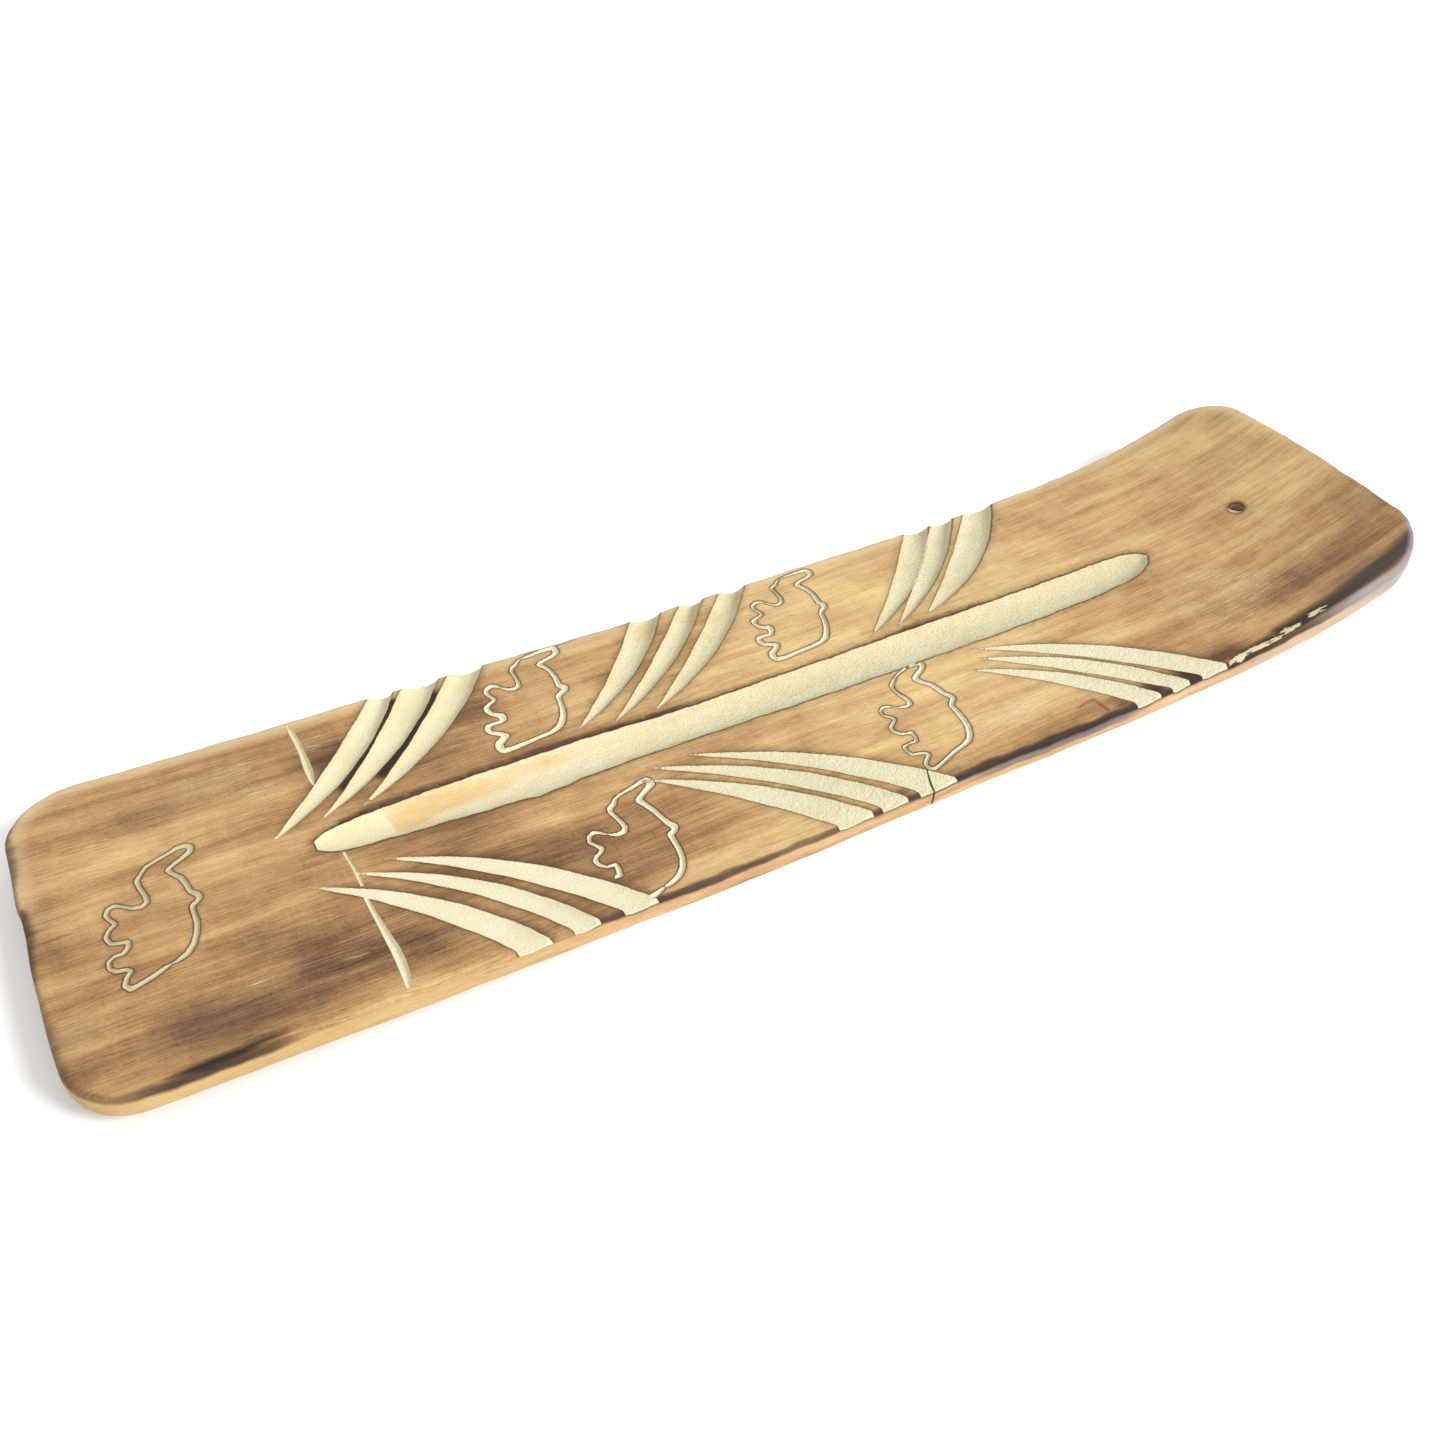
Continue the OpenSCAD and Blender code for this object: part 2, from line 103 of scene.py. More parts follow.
# The elephants, feet towards the heel and raised trunk towards +y: x, y and width of each line.
ELEPHANTS = [
    [
        (-102.6, 9.9, 0.8), (-101.9, 9.3, 0.9), (-102.1, 8.4, 0.9), (-103.3, 7.6, 0.7), (-104.8, 6.8, 0.6),
        (-106, 6, 0.7), (-105.6, 5, 0.6), (-104.6, 3.6, 0.7), (-104.2, 2, 0.7), (-104, 0.3, 0.7),
        (-103.2, -0.7, 0.8), (-103, -1.5, 0.8), (-103.6, -2.1, 0.7), (-104.4, -2.6, 0.6),
        (-104.5, -4, 0.6), (-104.5, -6, 0.7), (-105, -8, 0.7), (-105.8, -9.8, 0.8), (-107, -11.2, 0.8),
        (-108.5, -11.9, 0.6), (-109.3, -12.1, 0.1), (-110.2, -12.4, 0.6), (-112, -13.2, 0.7),
        (-113.8, -13.8, 0.7), (-115.3, -14.2, 0.8), (-115.9, -13.2, 0.7), (-115.4, -11.9, 0.6),
        (-114.6, -11, 0.6), (-115.1, -10.4, 0.5), (-116.4, -10.2, 0.6), (-117.2, -9.3, 0.5),
        (-117.1, -8, 0.5), (-116.2, -7.3, 0.4), (-114.9, -7.3, 0.6), (-114.1, -6.4, 0.7),
        (-113.9, -5.4, 0.6), (-115, -5.2, 0.5), (-116.2, -4.8, 0.5), (-116.6, -3.4, 0.6),
        (-115.9, -2.1, 0.5), (-114.8, -1.4, 0.5), (-115.5, -0.2, 0.5), (-115.8, 0.8, 0.6),
        (-115.3, 1.9, 0.6), (-114.4, 2.2, 0.5), (-113.4, 1.6, 0.4), (-112.2, 0.6, 0.5), (-110.9, 0.3, 0.7),
        (-110, 0.9, 0.7), (-110, 2.2, 0.6), (-110.4, 4.2, 0.6), (-110.5, 5.7, 0.7), (-109.6, 6.9, 0.5),
        (-108.7, 8, 0.5), (-107, 8.7, 0.5), (-105.2, 9.3, 0.5), (-103.8, 9.9, 0.7), (-102.6, 9.9, 0.8),
    ],
    [
        (-32.4, 30.4, 1), (-32.4, 29, 1.1), (-33.3, 28.3, 0.8), (-34.8, 27.9, 0.7), (-36.2, 27.5, 0.8),
        (-36.7, 27, 0.9), (-36, 25.9, 0.7), (-35.6, 24.5, 0.7), (-35.5, 22.5, 0.8), (-35.7, 21, 0.9),
        (-35.8, 20.2, 1), (-35.2, 19.4, 1.2), (-35.2, 18.8, 1.1), (-36.2, 18.2, 0.9), (-37.1, 17.7, 0.9),
        (-37.3, 16.5, 0.7), (-37.7, 14.5, 0.8), (-38.3, 12.8, 1), (-39.2, 11.3, 1.1), (-40.2, 10.3, 1.1),
        (-41.8, 9.6, 0.8), (-43.8, 9.4, 0.7), (-46, 9.1, 0.8), (-49, 8.7, 1), (-51, 8.7, 1.2),
        (-51.2, 9.8, 1.4), (-50.9, 10.8, 1.3), (-49.8, 11.6, 1.2), (-49.1, 12.1, 1.2), (-49.8, 12.9, 0.9),
        (-51.1, 13.8, 0.8), (-51.4, 14.8, 0.9), (-51, 15.6, 0.9), (-50, 15.8, 0.6), (-48.6, 15.8, 0.8),
        (-48, 16.2, 1.2), (-47.9, 17.1, 1.4), (-48.4, 17.6, 1), (-49.2, 18.2, 0.8), (-49.6, 19.3, 1),
        (-49.4, 20.3, 0.9), (-48.4, 21, 0.6), (-47.3, 21.5, 0.6), (-47.8, 22.8, 0.6), (-48.1, 23.9, 0.7),
        (-47.6, 24.8, 0.8), (-46.6, 25.3, 0.8), (-45.7, 24.8, 0.6), (-45.1, 24, 0.25), (-44.4, 23.3, 0.6),
        (-43.3, 22.8, 0.7), (-42.2, 23.2, 0.8), (-41.9, 24.2, 0.6), (-41.8, 26, 0.45), (-41.8, 27.6, 0.5),
        (-41.3, 28.5, 0.6), (-40.4, 28.9, 0.6), (-39.6, 29.8, 0.45), (-39.1, 30, 0.1), (-37.8, 30.1, 0.5),
        (-35, 30.4, 0.8), (-32.4, 30.4, 1),
    ],
    [
        (20.8, 29.3, 0.9), (21.4, 28.6, 1), (21.2, 27.6, 0.9), (20, 27.1, 0.6), (18, 26.6, 0.6),
        (17, 26.1, 0.8), (17.3, 25.1, 0.9), (17.9, 23.8, 0.8), (18.2, 22, 0.8), (18, 20.4, 0.9),
        (17.8, 19.2, 0.9), (18.3, 18.3, 1), (18.1, 17.5, 0.9), (17.2, 17.1, 0.8), (16.4, 16.2, 0.7),
        (16, 14.5, 0.8), (15.3, 12.6, 0.9), (14.3, 10.9, 1), (13.3, 9.7, 1.1), (12, 9, 1), (10, 8.7, 0.8),
        (7, 8.5, 0.8), (4, 8.2, 0.9), (2.2, 8.4, 1.1), (1.9, 9.4, 1.2), (2.2, 10.5, 1.1), (3.4, 11.1, 1),
        (4.3, 11.9, 1), (3.6, 12.5, 0.9), (2.2, 13.3, 0.9), (1.9, 14.3, 0.9), (2.2, 15.3, 0.9),
        (3.4, 15.4, 0.7), (4.9, 15.2, 0.8), (5.5, 16.2, 1.1), (5.7, 17.2, 1), (4.9, 17.4, 0.9),
        (4.1, 18, 0.8), (3.7, 19.2, 0.8), (3.9, 20.2, 0.8), (5.2, 20.6, 0.5), (6.4, 21.1, 0.6),
        (6.2, 22, 0.6), (5.7, 23.2, 0.6), (6.1, 24.2, 0.7), (7.1, 24.8, 0.7), (8.2, 24.4, 0.6),
        (8.9, 23.5, 0.3), (9.6, 22.7, 0.5), (10.7, 22.2, 0.7), (11.7, 22.8, 0.7), (12.1, 24, 0.6),
        (12.1, 26, 0.45), (12.1, 27.4, 0.5), (13.2, 27.9, 0.6), (14.2, 28.7, 0.4), (14.9, 29.3, 0.1),
        (16.5, 29.4, 0.3), (18.5, 29.4, 0.6), (20.8, 29.3, 0.9),
    ],
    [
        (-43.6, -31, 0.9), (-42, -30.6, 0.8), (-41, -30.2, 0.5), (-40.6, -30.1, 0.1), (-40.3, -30, 0.6),
        (-39, -29.7, 0.8), (-37.6, -29, 0.9), (-36.4, -27.8, 0.9), (-35.5, -26, 0.8), (-35.1, -24, 0.8),
        (-35, -22, 0.8), (-34.9, -20.7, 0.9), (-33.9, -20.3, 0.9), (-33.5, -19.5, 1.2), (-34, -18.5, 1),
        (-34.4, -17, 0.8), (-34.8, -15, 0.8), (-35.5, -13, 0.9), (-36, -11.7, 1.1), (-35, -10.8, 0.8),
        (-33.6, -10, 1), (-32.4, -9.2, 1.3), (-32.6, -8, 1), (-33.6, -8, 0.8), (-35.6, -8.6, 0.6),
        (-37.6, -9, 0.5), (-39.2, -9.6, 0.5), (-39.9, -10.6, 0.8), (-40.9, -11.2, 0.9), (-41.2, -12, 0.7),
        (-40.8, -14, 0.6), (-40.5, -16, 0.8), (-41.2, -17, 0.9), (-42.4, -17, 0.7), (-43.2, -16.6, 0.4),
        (-43.6, -16.3, 0.1), (-44.1, -16, 0.3), (-44.7, -15.4, 0.5), (-45.6, -14.9, 0.6),
        (-46.6, -15.5, 0.6), (-47, -16.6, 0.5), (-46.4, -17.6, 0.5), (-45.8, -18.6, 0.8),
        (-46.2, -19.2, 0.6), (-47.3, -19.8, 0.6), (-47.9, -20.6, 0.7), (-47.6, -21.6, 0.6),
        (-46.8, -22.4, 0.4), (-46, -22.5, 0.5), (-45.3, -22.6, 0.6), (-45.4, -23.8, 0.8),
        (-45.7, -24.9, 0.8), (-46.4, -24.9, 0.5),
    ],
    [
        (24.3, -4.3, 1), (24.8, -5.2, 0.9), (23.8, -6.2, 0.9), (22.4, -6.9, 0.9), (21.3, -7.7, 1),
        (21.8, -9, 0.9), (22.9, -10.5, 0.9), (23.3, -12, 1), (23.5, -13.5, 0.9), (24.1, -14.4, 0.9),
        (24.3, -15.3, 0.9), (23.4, -16, 0.8), (22.8, -16.7, 0.8), (22.8, -18.5, 0.9), (22.6, -20.5, 1),
        (22.2, -22.4, 1), (21.3, -24.2, 1), (20.2, -25.3, 0.9), (18.6, -25.9, 0.7), (16.5, -26.4, 0.6),
        (13.5, -27.5, 0.6), (11.2, -28.3, 0.6), (10.3, -27.8, 0.6), (10.3, -26.6, 0.6), (11.2, -25.7, 0.6),
        (12.2, -25, 0.6), (11.8, -24.3, 0.5), (10.6, -23.9, 0.5), (9.5, -23.6, 0.5), (9.3, -22.4, 0.5),
        (9.5, -21.4, 0.5), (10.8, -21.2, 0.2), (12.2, -21.3, 0.5), (12.6, -20.2, 0.6), (12.7, -19.1, 0.6),
        (11.8, -18.9, 0.4), (10.8, -18.6, 0.6), (10, -17.4, 0.6), (10.2, -16.4, 0.6), (11.3, -15.6, 0.5),
        (12.1, -15, 0.5), (11.6, -14.2, 0.5), (10.7, -13.2, 0.4), (10.9, -12.1, 0.4), (11.9, -11.4, 0.5),
        (12.9, -11.7, 0.5), (13.7, -12.3, 0.1), (14.6, -12.9, 0.4), (15.8, -13.2, 0.6), (16.7, -12.9, 0.9),
        (16.9, -11.8, 0.8), (16.4, -10, 0.6), (16.2, -8.4, 0.5), (16.6, -7.2, 0.7), (17.7, -6.3, 0.5),
        (18.6, -5.6, 0.3), (20, -5, 0.4), (22, -4.4, 0.6), (24.3, -4.3, 1),
    ],
]  # fmt: skip

# The line scored across the board, in the three stretches that show: x, y, half width.
SCORED = [
    [
        (-81.4, 14.2, 0.1), (-81.3, 15.5, 0.42), (-81.1, 17.5, 0.68), (-81, 19.5, 0.7), (-80.9, 22, 0.55),
        (-80.8, 25, 0.58), (-81, 28, 0.5), (-81.2, 30.4, 0.15),
    ],
    [(-81.6, -1.9, 0.25), (-81.2, -6, 0.3), (-81.2, -9.9, 0.3)],
    [
        (-81.5, -12, 0.34), (-81.4, -15, 0.38), (-81.2, -18, 0.48), (-81, -21, 0.62), (-80.8, -23.5, 0.74),
        (-80.8, -26, 0.76), (-81, -28.8, 0.66), (-81.4, -31, 0.35),
    ],
]  # fmt: skip
# A crack at the near edge, in the same way.
CRACK = [(9.7, -27.8, 0.06), (9.0, -30, 0.14), (8.4, -32.3, 0.12)]


# ---- shapes on the flat drawing --------------------------------------------


def wave(x, *terms):
    """A sum of sines of x, each given as (height, length, phase)."""
    return sum(a * np.sin(2 * np.pi * x / length + phase) for a, length, phase in terms)


def smooth(low_edge, high_edge, x):
    """0 below one edge, 1 above the other, and a smooth step between."""
    t = np.clip((x - low_edge) / (high_edge - low_edge), 0, 1)
    return t * t * (3 - 2 * t)


def side_curve(start, end, bow, n=44):
    """Points from start to end on a side that bows towards the toe."""
    start, end = np.array(start), np.array(end)
    along = end - start
    normal = np.array([abs(along[1]), -along[0] * np.sign(along[1])]) / np.hypot(*along)
    t = np.linspace(0, 1, n)[:, None]
    return start + t * along + 4 * bow * t * (1 - t) * normal


def stroke_sides(stroke, way):
    """The heel side and the toe side of a stroke, out to a little past the edge."""
    x, y, heel_x, toe_x, heel_bow, toe_bow = stroke
    sides = []
    for end_x, bow in ((heel_x, heel_bow), (toe_x, toe_bow)):
        curve = side_curve((x, way * y), (end_x, way * WIDTH / 2), bow)
        curve[:, 0] += wave(curve[:, 1], (0.07, 7.3, x), (0.04, 2.9, bow * 9))
        run_out = curve[-1] + (curve[-1] - curve[-2]) * 3
        sides.append(np.vstack([curve, run_out]))
    return sides


def rounded(points, closed):
    """A line with its corners cut a little, as a hand-held tool turns them."""
    p = np.array(points, float)
    q = p[1:]
    cut_corners = np.stack([p[:-1] * 0.9 + q * 0.1, p[:-1] * 0.1 + q * 0.9], 1).reshape(-1, p.shape[1])
    if closed:
        return np.vstack([cut_corners, cut_corners[:1]])
    return np.vstack([p[:1], cut_corners, p[-1:]])


def spaced(points, step):
    """The same polyline with points at an even spacing."""
    lengths = np.r_[0, np.cumsum(np.hypot(*np.diff(points[:, :2], axis=0).T))]
    n = max(int(round(lengths[-1] / step)), 1)
    at = np.linspace(0, lengths[-1], n + 1)
    return np.stack([np.interp(at, lengths, column) for column in points.T], 1)


def left_normals(points, closed=False):
    """Unit vectors to the left of a polyline at each of its points."""
    ahead = np.roll(points, -1, axis=0) - np.roll(points, 1, axis=0)
    if not closed:
        ahead[0], ahead[-1] = points[1] - points[0], points[-1] - points[-2]
    ahead /= np.hypot(*ahead.T)[:, None]
    return np.stack([-ahead[:, 1], ahead[:, 0]], 1)


def distance_to(points, line):
    """Distance from each point to a polyline, and how far along it the nearest place is."""
    a, b = line[:-1], line[1:]
    ab = b - a
    best, place = np.full(len(points), 1e9), np.zeros(len(points))
    for i in range(len(a)):
        ap = points - a[i]
        t = np.clip(ap @ ab[i] / max(ab[i] @ ab[i], 1e-12), 0, 1)
        d = np.hypot(*(ap - t[:, None] * ab[i]).T)
        near = d < best
        best[near], place[near] = d[near], i + t[near]
    return best, place


def near_box(points, line, margin):
    """Which points lie within margin of a polyline's box."""
    return ((points > line.min(0) - margin) & (points < line.max(0) + margin)).all(1)


def corner(cx, cy, rx, ry, start, n=18):
    """A quarter turn, anticlockwise, from the angle start."""
    a = np.radians(np.linspace(start, start + 90, n))
    return np.stack([cx + rx * np.cos(a), cy + ry * np.sin(a)], 1)


def board_outline():
    """The board seen from above, anticlockwise from the near heel corner."""
    half = WIDTH / 2
    heel, toe = -LENGTH / 2, LENGTH / 2
    bulge = 1.1
    # the corners are not all alike, and the far side lies a little further in
    points = np.vstack([
        corner(heel + bulge + 9, -half + 9, 9, 9, 180),
        corner(toe - bulge - 12, -half + 12, 12, 12, 270),
        corner(toe - bulge - 9, half - 0.4 - 9, 9, 9, 0),
        corner(heel + bulge + 11, half - 0.9 - 9.5, 11, 9.5, 90),
    ])
    points = spaced(np.vstack([points, points[:1]]), 0.6)[:-1]
    x, y = points.T.copy()
    # the ends are a little convex, and the far edge bows out between its cuts
    at_end = smooth(LENGTH / 2 - 24, LENGTH / 2 - 1, np.abs(x))
    x += np.sign(x) * bulge * at_end * np.clip(1 - (y / half) ** 2, 0, 1)
    far = smooth(0, 20, y)
    y += far * (0.85 * np.exp(-(((x + 55) / 45) ** 2)) - 0.1)
    y += wave(x, (0.1, 61, 0.4), (0.05, 23, 2.1), (0.025, 9.1, 1.0))
    x += wave(y, (0.09, 47, 1.3), (0.04, 13, 0.2))
    # a splinter has come off the heel
    x += 0.25 * (x < 0) * smooth(8, 6.5, y) * smooth(-6, 2, y)
    return np.stack([x, y], 1)


outline = board_outline()
outline_loop = np.vstack([outline, outline[:1]])

strokes = [(s, 1, *stroke_sides(s, 1)) for s in FAR_STROKES]
strokes += [(s, -1, *stroke_sides(s, -1)) for s in NEAR_STROKES]

groove_x, groove_low, groove_high = np.array(GROOVE).T


def rounded_through(x, y, at):
    """A smooth curve through the points (x, y), read at the places at."""
    slope = np.gradient(y, x)
    i = np.clip(np.searchsorted(x, at) - 1, 0, len(x) - 2)
    h = x[i + 1] - x[i]
    t = np.clip((at - x[i]) / h, 0, 1)
    return (
        (1 + 2 * t) * (1 - t) ** 2 * y[i]
        + t * (1 - t) ** 2 * h * slope[i]
        + t * t * (3 - 2 * t) * y[i + 1]
        + t * t * (t - 1) * h * slope[i + 1]
    )


def groove_sides(x):
    """The near and far sides of the groove, with the small tears along its rims."""
    fade = smooth(-84, -76, x) * smooth(82, 74, x)
    near = rounded_through(groove_x, groove_low, x)
    far = rounded_through(groove_x, groove_high, x)
    near += fade * wave(x, (0.07, 11.3, 0), (0.05, 4.7, 1), (0.03, 1.9, 2))
    far += fade * wave(x, (0.06, 9.1, 3), (0.05, 3.9, 0), (0.04, 1.7, 1))
    chip = np.exp(-(((x + 50) / 1.5) ** 2)) + 0.7 * np.exp(-(((x + 45) / 2.5) ** 2))
    return near - 0.35 * chip, far


elephant_lines = []
for points in ELEPHANTS:
    closed = points[0] == points[-1]
    turns = rounded(points, closed)
    stretches = [spaced(turns[i : i + 2], 0.36)[:-1] for i in range(len(turns) - 1)]
    line = np.vstack([*stretches, turns[-1:]])
    elephant_lines.append((line[:, :2], line[:, 2] / 2 + 0.05, closed))


# ---- depth of the cuts -----------------------------------------------------


def stroke_depth(points):
    """Depth of the gouge strokes at each point."""
    depth = np.zeros(len(points))
    for stroke, way, heel_side, toe_side in strokes:
        near = near_box(points, np.vstack([heel_side, toe_side]), 0.5)
        x, y = points[near, 0], points[near, 1] * way
        h = np.interp(y, heel_side[:, 1] * way, heel_side[:, 0])
        t = np.interp(y, toe_side[:, 1] * way, toe_side[:, 0])
        width = np.maximum(t - h, 1e-3)
        u = (x - h) / width
        inside = (u > 0) & (u < 1) & (y > stroke[1])
        along = (y - stroke[1]) / (WIDTH / 2 - stroke[1])
        most = STROKE_DEPTH if way > 0 else NEAR_SHARE * STROKE_DEPTH
        deep = np.minimum(POINT_DEPTH + (most - POINT_DEPTH) * along, 0.34 * width)
        # the gouge was held askew: one wall of each hollow is steeper
        v = np.clip(u, 0, 1) ** (1.15 if way > 0 else 0.66)
        d = np.where(inside, deep * np.clip(1 - np.abs(2 * v - 1) ** 2.6, 0, 1) ** 0.8, 0)
        depth[near] = np.maximum(depth[near], d)
    return depth


def stroke_rims(points):
    """Signed distance to the strokes' rims, inside positive, and which side is nearest."""
    rim, side, length = np.full(len(points), -FAR_OFF), np.zeros(len(points)), np.zeros(len(points))
    for stroke, way, heel_side, toe_side in strokes:
        near = np.flatnonzero(near_box(points, np.vstack([heel_side, toe_side]), 4))
        p = points[near]
        to_heel, to_toe = distance_to(p, heel_side)[0], distance_to(p, toe_side)[0]
        y = p[:, 1] * way
        h = np.interp(y, heel_side[:, 1] * way, heel_side[:, 0])
        t = np.interp(y, toe_side[:, 1] * way, toe_side[:, 0])
        inside = (p[:, 0] > h) & (p[:, 0] < t) & (y > stroke[1])
        d = np.where(inside, 1, -1) * np.minimum(to_heel, to_toe)
        closer = d > rim[near]
        rim[near] = np.where(closer, d, rim[near])
        side[near] = np.where(closer, way * np.where(to_heel < to_toe, 1, 2), side[near])
        length[near] = np.where(closer, (y - stroke[1]) / (WIDTH / 2 - stroke[1]), length[near])
    return rim, side, length


def groove_depth(points):
    """Depth of the ash groove at each point."""
    x, y = points.T
    near, far = groove_sides(x)
    width = np.maximum(far - near, 1e-3)
    u = (y - near) / width
    inside = (u > 0) & (u < 1) & (x > groove_x[0]) & (x < groove_x[-1])
    deep = GROOVE_DEPTH * np.minimum(width / 7.5, 1) ** 0.8
    hollow = np.clip(1 - np.abs(2 * u - 1) ** 2.3, 0, 1) ** 0.9
    return np.where(inside, deep * hollow, 0)


def to_line(points, line, half):
    """How far inside a drawn line's rim each point lies, and half the line's width there."""
    d, place = distance_to(points, line)
    here = np.interp(place, np.arange(len(half)), half)
    return here - d, here


def line_depth(points):
    """Depth of the elephants' and the scored lines."""
    depth = np.zeros(len(points))
    for line, half, _ in elephant_lines:
        near = np.flatnonzero(near_box(points, line, 1))
        rim, here = to_line(points[near], line, half)
        u = np.clip(1 - rim / here, 0, 1)
        cut = np.minimum(LINE_DEPTH, 1.4 * here) * np.clip(1 - u**2.4, 0, 1) ** 0.8
        depth[near] = np.maximum(depth[near], np.where(rim > 0, cut, 0))
    x, y = points.T
    for scored in (*SCORED, CRACK):
        sx, sy, sw = np.array(sorted(scored, key=lambda p: p[1])).T
        half = np.interp(y, sy, sw, left=0, right=0)
        u = np.abs(x - np.interp(y, sy, sx)) / np.maximum(half, 1e-3)
        cut = np.where((half > 0) & (u < 1), 0.9 * half * np.clip(1 - u**2, 0, 1), 0)
        depth = np.maximum(depth, cut)
    return depth


def cut_depth(points):
    """Depth of all the cuts: fine lines don't show where a stroke or the groove is cut."""
    strokes_deep = stroke_depth(points)
    grooves = groove_depth(points)
    lines = np.where((strokes_deep > 0) | (grooves > 0), 0, line_depth(points))
    return np.maximum(np.maximum(strokes_deep, grooves), lines)


# ---- bends -----------------------------------------------------------------
heel_bend_start = HEEL_RUN - LENGTH / 2
flat_start = heel_bend_start + HEEL_BEND_RUN
tip_start = LENGTH / 2 - TIP_RUN
flat_end = tip_start - TOE_BEND_RUN


def arc(radius, run):
    """Height gained on a bend of this radius, over a run seen from above."""
    return radius - np.sqrt(radius**2 - np.clip(run, 0, 0.9 * radius) ** 2)


def rise(x):
    """Height of the top face above its flat middle."""
    heel_slope = math.tan(math.asin(HEEL_BEND_RUN / HEEL_RADIUS))
    heel = arc(HEEL_RADIUS, np.clip(flat_start - x, 0, HEEL_BEND_RUN))
    heel += heel_slope * np.maximum(heel_bend_start - x, 0)
    toe = arc(TOE_RADIUS, np.clip(x - flat_end, 0, TOE_BEND_RUN))
    before = TIP_RADIUS * TOE_BEND_RUN / TOE_RADIUS
    tip = arc(TIP_RADIUS, np.maximum(x - tip_start, 0) + before) - arc(TIP_RADIUS, np.array(before))
    return heel + toe + tip


def slope(x):
    return (rise(x + 0.05) - rise(x - 0.05)) / 0.1


def underside(x):
    """Height of the underside, which follows the top face at the board's thickness."""
    u = x.copy()
    for _ in range(4):
        a = np.arctan(slope(u))
        u = x - THICKNESS * np.sin(a)
    a = np.arctan(slope(u))
    return THICKNESS + rise(u) - THICKNESS * np.cos(a)


# ---- the top face ----------------------------------------------------------
constraints = []


def add_constraint(points):
    """A line that the mesh's edges have to follow."""
    constraints.append(np.asarray(points, float))


for _, _, heel_side, toe_side in strokes:
    add_constraint(spaced(heel_side, 0.7))
    add_constraint(spaced(toe_side, 0.7))
for rim in (0, 1):
    x = np.unique(np.r_[np.linspace(-85, -78, 13), np.arange(-78, 76, 0.9), np.linspace(76, 83, 13)])
    add_constraint(np.stack([x, groove_sides(x)[rim]], 1))
for x in (GROOVE[0][0], GROOVE[-1][0]):
    add_constraint([(x, side[0]) for side in groove_sides(np.array([x]))])
scored_middles = []
for scored in (*SCORED, CRACK):
    line = spaced(np.array(scored), 0.5)
    middle, half = line[:, :2], line[:, 2:] * (1, 0)
    add_constraint(np.vstack([middle + half, (middle - half)[::-1], middle[:1] + half[:1]]))
    scored_middles += [(middle + share * half)[1:-1] for share in (0, 0.5, -0.5)]
hole_angle = np.linspace(0, 2 * np.pi, 41)[:-1]
hole_rim = HOLE + HOLE_RADIUS * np.stack([1.01 * np.cos(hole_angle), np.sin(hole_angle)], 1)
hole_mouth = hole_rim + (hole_rim - HOLE) * 0.12

loose = scored_middles
for line, half, closed in elephant_lines:
    line, half = (line[:-1], half[:-1]) if closed else (line, half)
    whole = np.vstack([line, line[:1]]) if closed else line
    normals = left_normals(line, closed)
    for way in (-1, 1):
        rim = line + way * half[:, None] * normals
        keep = distance_to(rim, whole)[0] > 0.94 * half
        for i in np.flatnonzero(keep)[: None if closed else -1]:
            j = (i + 1) % len(rim)
            if keep[j] and np.hypot(*(rim[i] - rim[j])) < 0.8:
                add_constraint([rim[i], rim[j]])
        loose.append(line + way * 0.5 * half[:, None] * normals)
        beside = line + way * (half[:, None] + 0.4) * normals
        loose.append(beside[distance_to(beside, whole)[0] > half + 0.3])
    loose.append(line)

outline_normals = -left_normals(outline, closed=True)
for inset in (0.12, 0.35, 0.7, 1.15):
    loose.append(outline - inset * outline_normals)


def grid(x0, x1, y0, y1, dx, dy, jitter):
    """A field of points in staggered rows."""
    xs, ys = np.arange(x0, x1, dx), np.arange(y0, y1, dy)
    gx, gy = np.meshgrid(xs, ys)
    gx = gx + (np.arange(len(ys)) % 2)[:, None] * dx / 2
    points = np.stack([gx.ravel(), gy.ravel()], 1)
    return points + rng.uniform(-jitter, jitter, points.shape) * (dx, dy)


def inside_loop(points, loop):
    """Which points lie inside a closed loop."""
    x, y = points.T
    inside = np.zeros(len(points), bool)
    for (ax, ay), (bx, by) in zip(loop, np.roll(loop, -1, axis=0)):
        if ay != by:
            crosses = (ay > y) != (by > y)
            inside ^= crosses & (x < (bx - ax) * (y - ay) / (by - ay) + ax)
    return inside


def inside_outline(points, margin=0.0):
    """Which points lie inside the board's outline, by at least margin."""
    inside = inside_loop(points, outline)
    if margin:
        x, y = points.T
        rim = inside & ((np.abs(y) > WIDTH / 2 - 3) | (np.abs(x) > LENGTH / 2 - 16))
        close = distance_to(points[rim], outline_loop)[0] < margin
        inside[np.flatnonzero(rim)[close]] = False
    return inside


fine = grid(-92, 84, -32, 32, 0.5, 0.45, 0.1)
in_cut = (stroke_depth(fine) > 0) | (groove_depth(fine) > 0) | (stroke_rims(fine)[0] > -1.3)
coarse = grid(-127, 127, -32, 32, 1.25, 1.1, 0.16)
out_of_cut = ~((stroke_depth(coarse) > 0) | (groove_depth(coarse) > 0))
loose.append(grid(41.5, 47.5, -31, -26.4, 0.4, 0.4, 0.05))  # round the knife mark
beside_edge = grid(-122, 122, -31, -25, 0.7, 0.6, 0.08)
loose.append(beside_edge[inside_outline(beside_edge, 1.4)])
loose.append(fine[in_cut & inside_outline(fine, 0.5)])
loose.append(coarse[out_of_cut & inside_outline(coarse, 1.5)])
loose = np.vstack(loose)

# loose points that crowd a constraint or another point are dropped
fixed = [outline_loop, np.vstack([hole_rim, hole_rim[:1]])] + constraints
fixed_points = np.vstack([spaced(f, 0.25) if len(f) > 1 else f for f in fixed])


